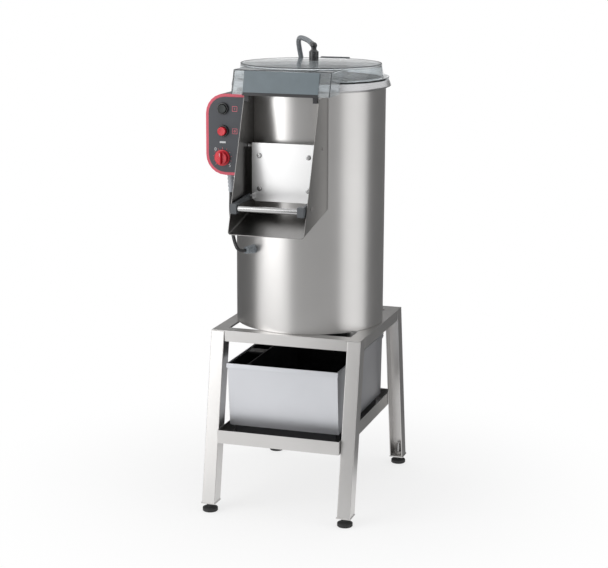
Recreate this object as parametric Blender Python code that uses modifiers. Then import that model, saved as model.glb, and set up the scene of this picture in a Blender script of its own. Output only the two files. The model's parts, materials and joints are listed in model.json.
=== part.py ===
"""Potato peeler: a drum with a turning abrasive plate, on a stand with a sliding filter box.

Metres, +Z up, +X to the right as seen from the front, the front faces -Y. The origin is on the
floor under the middle of the machine. Everything is drawn around the drum's axis and hangs on
one root empty that moves it to that origin.
"""
from math import acos, asin, cos, degrees, hypot, pi, radians, sin, sqrt

import bmesh
import bpy
from mathutils import Matrix, Vector

# Fits
GAP = 0.0003                    # between faces that rest on each other
RUNNING = 0.0004                # around a pin or shaft that turns
OVERRUN = 0.006                 # how far a cutter passes what it cuts
MERGE = 0.00001

# Stand
STAND_WIDTH = 0.393
STAND_DEPTH = 0.401
STAND_HEIGHT = 0.459
STAND_FORWARD = 0.005           # the stand's middle lies this far in front of the drum's axis
LEG_WIDTH = 0.035
LEG_DEPTH = 0.040
LEG_SHEET = 0.002
LEG_SPREAD = 0.078              # how far a leg's lower end stands out past its top
LEG_END_HEIGHT = 0.0217
LEG_PLATE = 0.003
LEG_PLATE_EDGE = 0.0012         # the end plate stands out this far round the leg
RAIL_WIDTH = 0.035
RAIL_DROP = 0.028
RAIL_SHEET = 0.002

# Levelling feet
FOOT_RADIUS = 0.0195
FOOT_PAD = 0.0095
FOOT_NECK_RADIUS = 0.0085
FOOT_NECK_TOP = 0.0175
STUD_RADIUS = 0.005
STUD_TOP = 0.056
FOOT_SETBACK = 0.015            # the foot's axis behind the leg's outer face
NUT_RADIUS = 0.0095
NUT_HEIGHT = 0.008

# Tray under the filter box
TRAY_DROP = 0.245               # its top below the stand's
TRAY_LIP = 0.034
TRAY_SHEET = 0.0015
TRAY_CLEARANCE = 0.0008         # to the legs at each side
TRAY_FORWARD = 0.0125           # the front lip ahead of the legs

# Filter box
BOX_CLEARANCE = 0.015           # between its rim and the legs at each side
BOX_FRONT = 0.2325              # its front rim ahead of the drum's axis
BOX_REAR = 0.197
BOX_HEIGHT = 0.1657
BOX_REST = 0.0018               # its base above the tray's lip
BOX_SHEET = 0.0015
BOX_FRONT_DRAFT = 0.017
BOX_REAR_DRAFT = 0.009
BOX_RIM_HEIGHT = 0.012
BOX_RIM_EDGE = 0.002
BASKET_WALL = 0.002
BASKET_DROP = 0.002             # the basket's edge below the box's rim
DIVIDER_X = -0.0945
STRIP_FRONT = -0.090
STRIP_WIDTH = 0.034
STRIP_HEIGHT = 0.006
RUNNER_WIDTH = 0.020
RUNNER_INSET = 0.012
OUTLET_RADIUS = 0.016
OUTLET_BORE = 0.0135
OUTLET_LENGTH = 0.018
OUTLET_RISE = 0.030             # its axis above the box's base

# Drum
DRUM_RADIUS = 0.190
DRUM_SHEET = 0.002
DRUM_RISE = 0.6065              # its top above the stand's
RIM_OVERHANG = 0.0125           # the rim's roll past the drum's sheet
RIM_HEIGHT = 0.0175
RIM_SKIRT = 0.0045              # how far it reaches down over the drum
RIM_BULGE_RISE = 0.0025
RIM_INNER = 0.178
RIM_SHOULDER_OVERHANG = 0.0075
BASE_RING_INNER = 0.158
BASE_RING_HEIGHT = 0.005
BASE_BOLT_CIRCLE = 0.176
BASE_BOLT_RADIUS = 0.004
BASE_BOLTS = 4
BOLT_HEAD_RADIUS = 0.007
BOLT_HEAD_HEIGHT = 0.004
FLOOR_RISE = 0.307              # above the stand's top
FLOOR_SHEET = 0.003
LINER_SHEET = 0.003
LINER_LIFT = 0.012              # above the chamber floor
LINER_DROP = 0.0855             # bare steel above it, below the drum's top

# Turning plate and its shaft
PLATE_RADIUS = 0.1795
HUB_HEIGHT = 0.0055
PLATE_HEIGHT = 0.010
PLATE_WAVE = 0.006              # height of the three humps
WAVE_RADIUS = 0.018
WAVES = 3
HUB_RADIUS = 0.035
HUB_CLEARANCE = 0.0015
SHAFT_RADIUS = 0.0125
SHAFT_ENTRY = 0.008             # how far it goes into the plate
SHAFT_END = 0.009               # below the pulley
HOUSING_RADIUS = 0.032
HOUSING_BORE = 0.0235
HOUSING_HEIGHT = 0.074
HOUSING_PROUD = 0.008           # above the chamber floor
FLANGE_RADIUS = 0.055
FLANGE_HEIGHT = 0.006
BEARING_WIDTH = 0.014
BEARING_MARGIN = 0.005          # lower bearing above the housing's base
SEAL_HEIGHT = 0.007

# Belt drive and motor
PULLEY_RADIUS = 0.080
PULLEY_WIDTH = 0.020
PULLEY_DROP = 0.036             # below the housing
PULLEY_LIP = 0.003
PULLEY_LIP_HEIGHT = 0.002
MOTOR_PULLEY_RADIUS = 0.022
MOTOR_Y = 0.116
MOTOR_RADIUS = 0.056
MOTOR_RISE = 0.041              # above the stand's top
MOTOR_DROP = 0.024              # below its pulley
MOTOR_SHAFT_RADIUS = 0.007
BELT_WALL = 0.004
BELT_SEAT = 0.0009              # clears the pulleys between the points of the belt's own bends
BELT_MARGIN = 0.0025            # belt inside the pulley's lips, above and below
BRACKET_SHEET = 0.005
BRACKET_HOLE_RADIUS = 0.014     # around the motor's shaft
BRACKET_HALF_WIDTH = 0.072
BRACKET_FRONT = 0.048
BRACKET_REAR = 0.160
HANGER_RADIUS = 0.006
DRAIN_X = 0.118
DRAIN_Y = 0.030
DRAIN_RADIUS = 0.024
DRAIN_WALL = 0.002
DRAIN_DROP = 0.061              # below the stand's top

# Chute
CHUTE_HALF_WIDTH = 0.0962
CHUTE_SHEET = 0.0015
CHUTE_BEND = 0.007
CHUTE_DROP = 0.012              # below the drum's top
CHUTE_LIP_FRONT = 0.3545
CHUTE_LIP_DROP = 0.0625         # below the door
CHEEK_TOP_FRONT = 0.2367
FLOOR_SLOPE = 0.192

# Door
DOOR_FRONT = 0.2175             # its outer face ahead of the drum's axis
DOOR_SHEET = 0.003
DOOR_HALF_WIDTH = 0.0825
DOOR_LAP = 0.003                # below the neck
DOOR_MARGIN = 0.009             # above the hinge
DOOR_CORNER = 0.012
NECK_HALF_WIDTH = 0.0755
NECK_RISE = 0.034               # above the chamber floor
NECK_HEIGHT = 0.124
NECK_SHEET = 0.002
SEAL_SHEET = 0.002
SEAL_EDGE = 0.006
HINGE_RISE = 0.008              # above the neck
ROD_RADIUS = 0.003
ROD_COLLAR_RADIUS = 0.006
ROD_COLLAR = 0.002
KNUCKLE_RADIUS = 0.0055
KNUCKLE_INNER = 0.052
KNUCKLE_OUTER = 0.078
SCREW_X = 0.063
SCREW_RISE = 0.031
SCREW_DROP = 0.022
SCREW_RADIUS = 0.0060
SCREW_HEIGHT = 0.0028
SCREW_TOP_SHARE = 0.6           # a domed head's top against its foot

# Door handle
BAR_Y = -0.335
BAR_DROP = 0.001
BAR_RADIUS = 0.0075
CAP_INNER = 0.0763
CAP_OUTER = 0.0918
CAP_DEPTH = 0.024
CAP_HEIGHT = 0.025
CAP_ROUND = 0.004
ARM_INNER = 0.0838
ARM_SHEET = 0.0068
ARM_RISE = 0.004
ARM_HEIGHT = 0.0145
PIVOT_Y = -0.2255
PIVOT_RISE = 0.01
PIVOT_RADIUS = 0.003
PIVOT_EAR = 0.004
PIVOT_EAR_HALF = 0.0065
REST_Y = -0.2925
REST_RADIUS = 0.004
REST_HEAD_RADIUS = 0.0055
REST_HEAD = 0.002
REST_MARGIN = 0.001             # between a rest pin and the step in its arm

# Lid
LID_SEAT = 0.0042               # the gasket's height and its gaps
LID_HEIGHT = 0.0343
LID_CROWN = 0.0025
LID_BASE_RADIUS = 0.1845
LID_TOP_RADIUS = 0.1805
LID_ROUND = 0.006
LEAF_REACH_SHARE = 0.3          # how far in over the lid's rounded edge the hinge leaf starts
LID_WALL = 0.003
GASKET_INNER = 0.1790
GASKET_OUTER = 0.1975
LID_FLANGE_RADIUS = 0.1980
LID_FLANGE = 0.0035             # the flange's thickness on the gasket
HOOD_HALF_WIDTH = 0.1240
HOOD_RISE = 0.0308
HOOD_HEIGHT = 0.058
HOOD_TOP_FRONT = 0.2290
HOOD_BASE_FRONT = 0.2480
HOOD_REAR = 0.100
HOOD_RIM_CLEARANCE = 0.0012
PANEL_HALF_WIDTH = 0.0953
PANEL_DROP = 0.0020             # its top below the hood's
PANEL_SHEET = 0.003
PANEL_FOLD = 0.0015
STOP_X = 0.0870
STOP_HALF_WIDTH = 0.0055
STOP_DEPTH = 0.012
STOP_REACH = 0.016              # below the hood
STOP_BEHIND = 0.0035            # the stop's front behind the panel's inner face

# Lid hinge
LID_HINGE_RISE = 0.0283
LID_HINGE_HALF = 0.039
LID_PIN_RADIUS = 0.0035
LID_KNUCKLE_RADIUS = 0.007
LEAF_HALF = 0.0185
BRACKET_DROP = 0.009            # below the rim
BRACKET_HEIGHT = 0.04
LID_BRACKET_SHEET = 0.0045
LID_PIN_SETBACK = 0.0039        # the pin's axis behind the bracket's upright plate

# Water feed
ELBOW_X = -0.0035
ELBOW_Y = 0.035
ELBOW_RADIUS = 0.0118
ELBOW_SHOULDER = 0.0085
ELBOW_NECK_SHARE = 0.8          # the neck under the ball against the shoulder
ELBOW_BODY = 0.022
ELBOW_BODY_TOP = 0.027
BALL_RADIUS = 0.0085
BALL_HEIGHT = 0.0385            # ball's middle above the lid
BALL_ARC = radians(126)
BALL_STEPS = 6
SPOUT_RADIUS = 0.0068
SPOUT_LENGTH = 0.016
HOSE_RADIUS = 0.0066
INLET_X = -0.083
INLET_Y = 0.196
INLET_DROP = 0.0358             # below the drum's top
INLET_RISE = 0.181              # above the stand's top
INLET_RADIUS = 0.0075
INLET_COLLAR_RADIUS = 0.012
INLET_COLLAR = 0.018
CLIP_HEIGHT = 0.012
CLIP_ABOVE_BASE = 0.060
CLIP_BELOW_TOP = 0.0497

# Controls
CONTROL_LEFT = 0.210
CONTROL_RIGHT = 0.0985
CONTROL_DROP = 0.01             # below the drum's top
CONTROL_CORNER = 0.050
CONTROL_FRONT = 0.1970
CONTROL_REAR = 0.100
CONTROL_WALL = 0.0025
FASCIA_SHEET = 0.004
FACE_SHEET = 0.0012
FACE_BORDER = 0.0075
BUTTON_X = -0.1640
START_DROP = 0.0365
BUTTON_PITCH = 0.055
KNOB_X = -0.1665
KNOB_DROP = 0.0665              # its middle below the stop button's
KNOB_MARGIN = 0.043             # from its middle to the control box's base
BEZEL_RADIUS = 0.0150
BEZEL_BORE = 0.0112
BEZEL_HEIGHT = 0.0060
BEZEL_EDGE = 0.0010
BUTTON_RADIUS = 0.0105
BUTTON_PROUD = 0.0025           # past its bezel
STOP_PROUD = 0.0080
BUTTON_TRAVEL = 0.003
KNOB_RADIUS = 0.0165
KNOB_SKIRT_RADIUS = 0.0200
KNOB_SKIRT = 0.0040
KNOB_HEIGHT = 0.0130
KNOB_TOP_SHARE = 0.94            # the disc's front against its back
GRIP_WIDTH = 0.0060
GRIP_HEIGHT = 0.0080
GRIP_LENGTH_SHARE = 0.92         # the grip bar against the disc
SWITCH_HALF = 0.012
SWITCH_DEPTH = 0.026
STEM_RADIUS = 0.004
STEM_END = 0.004                # how far a stem reaches into its switch

# Cable and glands
CABLE_RADIUS = 0.0045
BOX_GLAND_X = -0.155
BOX_GLAND_Y = -0.170
BOX_GLAND_RADIUS = 0.009
BOX_GLAND_TIP_RADIUS = 0.0062
BOX_GLAND_LENGTH = 0.046
DRUM_GLAND_X = -0.096
DRUM_GLAND_DROP = 0.0685        # below the chute's lip
DRUM_GLAND_RADIUS = 0.0115
DRUM_GLAND_LENGTH = 0.028
GLAND_RIBS = 3
GLAND_RIB_DEPTH = 0.0012
GLAND_TAPER = 0.0006            # each rib is this much larger than the one in front of it
GLAND_RIB_SHARES = (0.25, 0.75) # where a rib's crown starts and ends along its pitch

# Sides of round pieces, from the drum down to pins, and of hexagons
DRUM_SIDES = 64
PULLEY_SIDES = 36
ROUND_SIDES = 24
SMALL_SIDES = 16
PIN_SIDES = 12
HEX_SIDES = 6
CORNER_STEPS = 6
CAP_CORNER_STEPS = 3
ROUTE_STEPS = 2
SHARP_ANGLE = radians(40)

# Routes about the drum's axis: the hose's from the rim's top, the cable's from the control box's base
HOSE_POINTS = [
    (-0.034, 0.0800, 0.0885), (-0.0585, 0.1120, 0.0922), (-0.0775, 0.1430, 0.0900),
    (-0.0890, 0.1700, 0.0785), (-0.0925, 0.1880, 0.0600), (-0.0905, 0.1950, 0.0370),
    (-0.0860, 0.1960, 0.0070), (-0.083, 0.1960, -0.0230),
]
CABLE_POINTS = [
    (-0.155, -0.1700, -0.0585), (-0.1545, -0.1730, -0.0845), (-0.150, -0.1810, -0.1165),
    (-0.143, -0.1910, -0.1455), (-0.1335, -0.2010, -0.1685), (-0.1235, -0.2060, -0.1835),
]

# Heights above the floor, from the stand's top up
TRAY_TOP = STAND_HEIGHT - TRAY_DROP
BOX_BASE = TRAY_TOP + BOX_REST
BOX_TOP = BOX_BASE + BOX_HEIGHT
DRUM_TOP = STAND_HEIGHT + DRUM_RISE
RIM_TOP = DRUM_TOP + RIM_HEIGHT
RIM_BASE = DRUM_TOP - RIM_SKIRT
RIM_BULGE_BASE = DRUM_TOP + RIM_BULGE_RISE
FLOOR_TOP = STAND_HEIGHT + FLOOR_RISE
LINER_BASE = FLOOR_TOP + LINER_LIFT
LINER_TOP = DRUM_TOP - LINER_DROP
HOUSING_TOP = FLOOR_TOP + HOUSING_PROUD
HUB_BASE = HOUSING_TOP + HUB_CLEARANCE
PLATE_BASE = HUB_BASE + HUB_HEIGHT
SHAFT_TOP = PLATE_BASE + SHAFT_ENTRY
HOUSING_BASE = HOUSING_TOP - HOUSING_HEIGHT
PULLEY_BASE = HOUSING_BASE - PULLEY_DROP
SHAFT_BASE = PULLEY_BASE - SHAFT_END
MOTOR_TOP = PULLEY_BASE - MOTOR_DROP
MOTOR_BASE = STAND_HEIGHT + MOTOR_RISE
DRAIN_END = STAND_HEIGHT - DRAIN_DROP
NECK_BASE = FLOOR_TOP + NECK_RISE
NECK_TOP = NECK_BASE + NECK_HEIGHT
DOOR_BASE = NECK_BASE - DOOR_LAP
HINGE_HEIGHT = NECK_TOP + HINGE_RISE
DOOR_TOP = HINGE_HEIGHT + DOOR_MARGIN
SCREW_LOW = DOOR_BASE + SCREW_RISE
SCREW_HIGH = HINGE_HEIGHT - SCREW_DROP
BAR_Z = DOOR_BASE - BAR_DROP
ARM_BASE = DOOR_BASE + ARM_RISE
PIVOT_Z = ARM_BASE + PIVOT_RISE
CHUTE_LIP_HEIGHT = DOOR_BASE - CHUTE_LIP_DROP
CHUTE_TOP = DRUM_TOP - CHUTE_DROP
LID_BASE = RIM_TOP + LID_SEAT
LID_TOP = LID_BASE + LID_HEIGHT
HOOD_TOP = LID_BASE + HOOD_RISE
HOOD_BASE = HOOD_TOP - HOOD_HEIGHT
STOP_BASE = HOOD_BASE - STOP_REACH
LID_HINGE_Z = LID_BASE + LID_HINGE_RISE
BRACKET_FOOT_TOP = RIM_BASE - BRACKET_DROP
BRACKET_FOOT_BASE = BRACKET_FOOT_TOP - BRACKET_HEIGHT
INLET_TOP = DRUM_TOP - INLET_DROP
INLET_BASE = STAND_HEIGHT + INLET_RISE
CONTROL_TOP = DRUM_TOP - CONTROL_DROP
START_Z = CONTROL_TOP - START_DROP
STOP_Z = START_Z - BUTTON_PITCH
KNOB_Z = STOP_Z - KNOB_DROP
CONTROL_BASE = KNOB_Z - KNOB_MARGIN
DRUM_GLAND_Z = CHUTE_LIP_HEIGHT - DRUM_GLAND_DROP
HOSE_ROUTE = [(x, y, RIM_TOP + rise) for x, y, rise in HOSE_POINTS]
CABLE_ROUTE = [(x, y, CONTROL_BASE + rise) for x, y, rise in CABLE_POINTS]

# Worked out from the sizes above
LEG_LEAN = LEG_SPREAD / (STAND_HEIGHT - LEG_END_HEIGHT)
STAND_FRONT = -STAND_DEPTH / 2 - STAND_FORWARD
STAND_REAR = STAND_DEPTH / 2 - STAND_FORWARD
LEG_INNER_X = STAND_WIDTH / 2 - LEG_WIDTH
FOOT_X = STAND_WIDTH / 2 - LEG_WIDTH / 2
BOX_WIDTH = 2 * (LEG_INNER_X - BOX_CLEARANCE)
FOOT_FRONT_Y = STAND_FRONT - LEG_SPREAD + FOOT_SETBACK
FOOT_REAR_Y = STAND_REAR + LEG_SPREAD - FOOT_SETBACK
DRUM_BASE = STAND_HEIGHT + GAP
DRUM_BORE = DRUM_RADIUS - DRUM_SHEET
LINER_RADIUS = DRUM_BORE - GAP
RIM_RADIUS = DRUM_RADIUS + RIM_OVERHANG
RIM_SHOULDER = DRUM_RADIUS + RIM_SHOULDER_OVERHANG
HINGE_Y = -DOOR_FRONT + DOOR_SHEET + GAP + KNUCKLE_RADIUS
REST_Z = ARM_BASE - GAP - REST_RADIUS
CHEEK_INNER = CHUTE_HALF_WIDTH - CHUTE_SHEET
PANEL_LEAN = (HOOD_BASE_FRONT - HOOD_TOP_FRONT) / (HOOD_TOP - HOOD_BASE)
BELT_BASE = PULLEY_BASE + BELT_MARGIN
LID_HINGE_Y = RIM_RADIUS + GAP + LID_BRACKET_SHEET + LID_PIN_SETBACK
BELT_HEIGHT = PULLEY_WIDTH - 2 * BELT_MARGIN
LEFT_MOST = -CONTROL_LEFT
RIGHT_MOST = RIM_RADIUS
FRONT_MOST = -CHUTE_LIP_FRONT
REAR_MOST = FOOT_REAR_Y + FOOT_RADIUS


def new_collection(name):
    """A collection in the scene."""
    made = bpy.data.collections.new(name)
    bpy.context.scene.collection.children.link(made)
    return made


for old in list(bpy.data.objects):
    bpy.data.objects.remove(old, do_unlink=True)
PARTS = new_collection("potato_peeler")
CUTTERS = new_collection("cutters")
ROOT = bpy.data.objects.new("machine", None)
PARTS.objects.link(ROOT)
ROOT.location = (-(LEFT_MOST + RIGHT_MOST) / 2, -(FRONT_MOST + REAR_MOST) / 2, 0)


def material(name, colour, roughness, metallic=0.0, alpha=1.0):
    """A plain Principled material."""
    made = bpy.data.materials.new(name)
    made.use_nodes = True
    shader = made.node_tree.nodes["Principled BSDF"]
    shader.inputs["Base Color"].default_value = (*colour, 1.0)
    shader.inputs["Roughness"].default_value = roughness
    shader.inputs["Metallic"].default_value = metallic
    shader.inputs["Alpha"].default_value = alpha
    made.diffuse_color = (*colour, alpha)
    return made


STEEL = material("satin_steel", (0.62, 0.61, 0.60), 0.38, 1.0)
BRIGHT = material("bright_steel", (0.78, 0.78, 0.78), 0.18, 1.0)
BOX_STEEL = material("box_steel", (0.74, 0.77, 0.80), 0.42, 1.0)
BLACK = material("black_plastic", (0.02, 0.02, 0.022), 0.45)
RUBBER = material("black_rubber", (0.025, 0.025, 0.025), 0.75)
DARK_GREY = material("dark_grey_plastic", (0.075, 0.08, 0.09), 0.5)
SLATE = material("slate_plastic", (0.19, 0.22, 0.25), 0.45)
FACE_GREY = material("face_grey", (0.09, 0.11, 0.12), 0.5)
LIGHT_GREY = material("light_grey_plastic", (0.55, 0.56, 0.58), 0.5)
RED = material("red_plastic", (0.60, 0.02, 0.05), 0.4)
BORDER_RED = material("border_red", (0.65, 0.06, 0.10), 0.45)
GREEN_BLACK = material("start_cap", (0.02, 0.05, 0.04), 0.4)
CLEAR = material("clear_plastic", (0.90, 0.93, 0.95), 0.08, 0.0, 0.3)
ABRASIVE = material("abrasive", (0.05, 0.05, 0.05), 0.95)
CAST = material("cast_aluminium", (0.55, 0.56, 0.57), 0.5, 1.0)
MOTOR_GREY = material("motor_grey", (0.20, 0.22, 0.24), 0.5, 0.3)
HOSE_GREY = material("hose_grey", (0.22, 0.23, 0.24), 0.5)


def place_of(empty):
    """Where an empty stands about the drum's axis."""
    place = Vector((0, 0, 0))
    while empty is not ROOT:
        place += empty.location
        empty = empty.parent
    return place


def attach(thing, parent):
    """Hang an object, drawn about the drum's axis, on an empty without moving it."""
    thing.location = Vector(thing.location) - place_of(parent)
    thing.parent = parent


def pivot(name, place, parent):
    """An empty on a joint's axis."""
    empty = bpy.data.objects.new(name, None)
    PARTS.objects.link(empty)
    empty.location = place
    attach(empty, parent)
    return empty


def finish(thing, surface, parent=ROOT):
    """Give a finished piece its material and hang it on its empty."""
    thing.data.materials.clear()
    thing.data.materials.append(surface)
    attach(thing, parent)
    return thing


def from_bmesh(name, shape, place):
    """An object at a place, from a bmesh drawn about zero."""
    mesh = bpy.data.meshes.new(name)
    shape.to_mesh(mesh)
    shape.free()
    thing = bpy.data.objects.new(name, mesh)
    PARTS.objects.link(thing)
    thing.location = place
    return thing


def box(name, low, high):
    """A block between two corners."""
    low = Vector(low)
    high = Vector(high)
    shape = bmesh.new()
    bmesh.ops.create_cube(shape, size=1)
    bmesh.ops.scale(shape, vec=high - low, verts=shape.verts)
    return from_bmesh(name, shape, (low + high) / 2)


def cylinder(name, radius, start, end, sides=SMALL_SIDES, end_radius=None):
    """A round bar, or a cone, between two points."""
    start = Vector(start)
    end = Vector(end)
    shape = bmesh.new()
    bmesh.ops.create_cone(
        shape, cap_ends=True, segments=sides, radius1=radius,
        radius2=radius if end_radius is None else end_radius, depth=(end - start).length)
    turn = (end - start).to_track_quat("Z", "Y").to_matrix()
    bmesh.ops.rotate(shape, cent=(0, 0, 0), matrix=turn, verts=shape.verts)
    return smooth(from_bmesh(name, shape, (start + end) / 2))


def turned(name, profile, sides, place=(0, 0, 0)):
    """A solid turned about +Z. The profile runs down the outer side, top to bottom."""
    edges = [(i, i + 1) for i in range(len(profile) - 1)]
    if all(radius > 0 for radius, height in profile):
        edges.append((len(profile) - 1, 0))
    mesh = bpy.data.meshes.new(name)
    mesh.from_pydata([(radius, 0, height) for radius, height in profile], edges, [])
    thing = bpy.data.objects.new(name, mesh)
    PARTS.objects.link(thing)
    thing.location = place
    spin = thing.modifiers.new("Turn", "SCREW")
    spin.steps = sides
    spin.render_steps = sides
    spin.use_merge_vertices = True
    spin.merge_threshold = MERGE
    return as_mesh(thing)


def ring(name, inner, outer, low, high, sides, place=(0, 0, 0)):
    """A plain turned ring."""
    profile = [(inner, high), (outer, high), (outer, low), (inner, low)]
    return turned(name, profile, sides, place)


def outline(name, rings, start, end, along="Z"):
    """A flat shape, rings of 2D points, extruded between two places along an axis.

    The points are (X, Y) along Z, (Y, Z) along X and (X, Z) along Y.
    """
    axes = {
        "Z": ((1, 0, 0), (0, 1, 0), (0, 0, 1)),
        "X": ((0, 1, 0), (0, 0, 1), (1, 0, 0)),
        "Y": ((1, 0, 0), (0, 0, 1), (0, -1, 0)),
    }[along]
    curve = bpy.data.curves.new(name, "CURVE")
    curve.dimensions = "2D"
    curve.fill_mode = "BOTH"
    curve.extrude = abs(end - start) / 2
    for points in rings:
        spline = curve.splines.new("POLY")
        spline.points.add(len(points) - 1)
        for point, (across, up) in zip(spline.points, points):
            point.co = (across, up, 0, 1)
        spline.use_cyclic_u = True
    thing = bpy.data.objects.new(name, curve)
    PARTS.objects.link(thing)
    middle = (start + end) / 2
    normal = Vector(axes[2])
    thing.matrix_world = Matrix.Translation(normal * middle * (-1 if along == "Y" else 1)) @ Matrix(
        [[axes[col][row] for col in range(3)] for row in range(3)]).to_4x4()
    return as_mesh(thing)


def as_mesh(thing):
    """The same object as a welded mesh, drawn about its own origin."""
    name = thing.name
    bpy.context.view_layer.update()
    seen = thing.evaluated_get(bpy.context.evaluated_depsgraph_get())
    mesh = bpy.data.meshes.new_from_object(seen)
    shape = bmesh.new()
    shape.from_mesh(mesh)
    bmesh.ops.remove_doubles(shape, verts=shape.verts, dist=MERGE)
    bmesh.ops.transform(shape, matrix=thing.matrix_world.to_3x3().to_4x4(), verts=shape.verts)
    bmesh.ops.recalc_face_normals(shape, faces=shape.faces)
    place = thing.matrix_world.translation.copy()
    bpy.data.objects.remove(thing, do_unlink=True)
    bpy.data.meshes.remove(mesh)
    return smooth(from_bmesh(name, shape, place))


def smooth(thing):
    """Smooth shading with sharp edges kept."""
    thing.data.shade_smooth()
    thing.data.set_sharp_from_angle(angle=SHARP_ANGLE)
    return thing


def tube(name, points, radius, resolution=2):
    """A round tube along points."""
    curve = bpy.data.curves.new(name, "CURVE")
    curve.dimensions = "3D"
    curve.bevel_depth = radius
    curve.bevel_resolution = resolution
    curve.use_fill_caps = True
    spline = curve.splines.new("POLY")
    spline.points.add(len(points) - 1)
    for point, place in zip(spline.points, points):
        point.co = (*place, 1)
    thing = bpy.data.objects.new(name, curve)
    PARTS.objects.link(thing)
    return thing


def smooth_route(points, steps):
    """Points on a smooth curve through a route."""
    places = [Vector(point) for point in points]
    places = [2 * places[0] - places[1]] + places + [2 * places[-1] - places[-2]]
    route = []
    for before, start, end, after in zip(places, places[1:], places[2:], places[3:]):
        for step in range(steps):
            t = step / steps
            route.append(0.5 * (
                2 * start + (end - before) * t
                + (2 * before - 5 * start + 4 * end - after) * t ** 2
                + (3 * start - before - 3 * end + after) * t ** 3))
    route.append(places[-2])
    return route


def arc(x, y, radius, first, last, steps):
    """Points along an arc, with its angles in degrees."""
    angles = [radians(first + (last - first) * step / steps) for step in range(steps + 1)]
    return [(x + radius * cos(angle), y + radius * sin(angle)) for angle in angles]


def rounded(low, high, radii, steps=CORNER_STEPS):
    """A rectangle's outline. Radii go round from the lower left corner, counterclockwise."""
    corners = [
        (low[0], low[1], 1, 1, 180), (high[0], low[1], -1, 1, 270),
        (high[0], high[1], -1, -1, 0), (low[0], high[1], 1, -1, 90)]
    points = []
    for (x, y, inward_x, inward_y, first), radius in zip(corners, radii):
        if radius == 0:
            points.append((x, y))
            continue
        points += arc(x + inward_x * radius, y + inward_y * radius, radius, first, first + 90, steps)
    return points


def boolean(target, tool, operation):
    """Cut, join or intersect with another object, which becomes a hidden guide."""
    step = target.modifiers.new(f"{operation.title()} {tool.name}", "BOOLEAN")
    step.operation = operation
    step.solver = "EXACT"
    step.object = tool
    if tool.name in PARTS.objects:
        PARTS.objects.unlink(tool)
        CUTTERS.objects.link(tool)
        attach(tool, ROOT)
    tool.hide_render = True
    tool.display_type = "WIRE"
    return target


def cut(target, tool):
    """Take a shape out of a piece."""
    return boolean(target, tool, "DIFFERENCE")


def join(target, tool):
    """Weld a shape onto a piece."""
    return boolean(target, tool, "UNION")


def drum_cylinder(name, radius, low, high):
    """A cylinder about the drum's axis, whose flats follow the drum's own."""
    return turned(name, [(0, high), (radius, high), (radius, low), (0, low)], DRUM_SIDES)


# Stand


def build_leg(name, side, front):
    """A folded channel that leans out, open to the machine's middle, with an end plate and its nut."""
    outer = side * STAND_WIDTH / 2
    inner = side * LEG_INNER_X
    face = STAND_FRONT if front else STAND_REAR
    inward = 1 if front else -1
    low_x = min(outer, inner)
    high_x = max(outer, inner)
    back = face + inward * LEG_DEPTH
    web = face + inward * LEG_SHEET
    channel = [
        (low_x, face), (high_x, face), (high_x, back), (high_x - LEG_SHEET, back),
        (high_x - LEG_SHEET, web), (low_x + LEG_SHEET, web), (low_x + LEG_SHEET, back), (low_x, back)]
    top = STAND_HEIGHT - RAIL_SHEET - GAP
    bottom = LEG_END_HEIGHT + LEG_PLATE / 2
    leg = outline(name, [channel], bottom, top)
    shear = Matrix.Identity(4)
    shear[1][2] = inward * LEG_LEAN
    leg.data.transform(shear)
    leg.location.y -= inward * LEG_LEAN * (STAND_HEIGHT - (bottom + top) / 2)
    foot_face = face - inward * LEG_SPREAD
    plate_y = sorted((foot_face - inward * LEG_PLATE_EDGE,
                      foot_face + inward * (LEG_DEPTH + LEG_PLATE_EDGE)))
    plate = box(
        name + "_plate",
        (low_x - LEG_PLATE_EDGE, plate_y[0], LEG_END_HEIGHT),
        (high_x + LEG_PLATE_EDGE, plate_y[1], LEG_END_HEIGHT + LEG_PLATE))
    join(leg, plate)
    foot_y = FOOT_FRONT_Y if front else FOOT_REAR_Y
    nut_top = LEG_END_HEIGHT + LEG_PLATE + NUT_HEIGHT
    join(leg, cylinder(
        name + "_nut", NUT_RADIUS, (side * FOOT_X, foot_y, LEG_END_HEIGHT + LEG_PLATE / 2),
        (side * FOOT_X, foot_y, nut_top), HEX_SIDES))
    cut(leg, cylinder(
        name + "_hole", STUD_RADIUS + RUNNING, (side * FOOT_X, foot_y, LEG_END_HEIGHT - OVERRUN),
        (side * FOOT_X, foot_y, nut_top + OVERRUN)))
    finish(leg, STEEL)


def build_foot(name, side, front):
    """A levelling foot: a rubber pad on a threaded stud."""
    place = (side * FOOT_X, FOOT_FRONT_Y if front else FOOT_REAR_Y, 0)
    turn = pivot(name + "_turn", place, ROOT)
    profile = [
        (0, STUD_TOP), (STUD_RADIUS, STUD_TOP), (STUD_RADIUS, FOOT_NECK_TOP),
        (FOOT_NECK_RADIUS, FOOT_NECK_TOP), (FOOT_RADIUS, FOOT_PAD), (FOOT_RADIUS, 0), (0, 0)]
    finish(turned(name, profile, ROUND_SIDES, place), RUBBER, turn)


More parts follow.
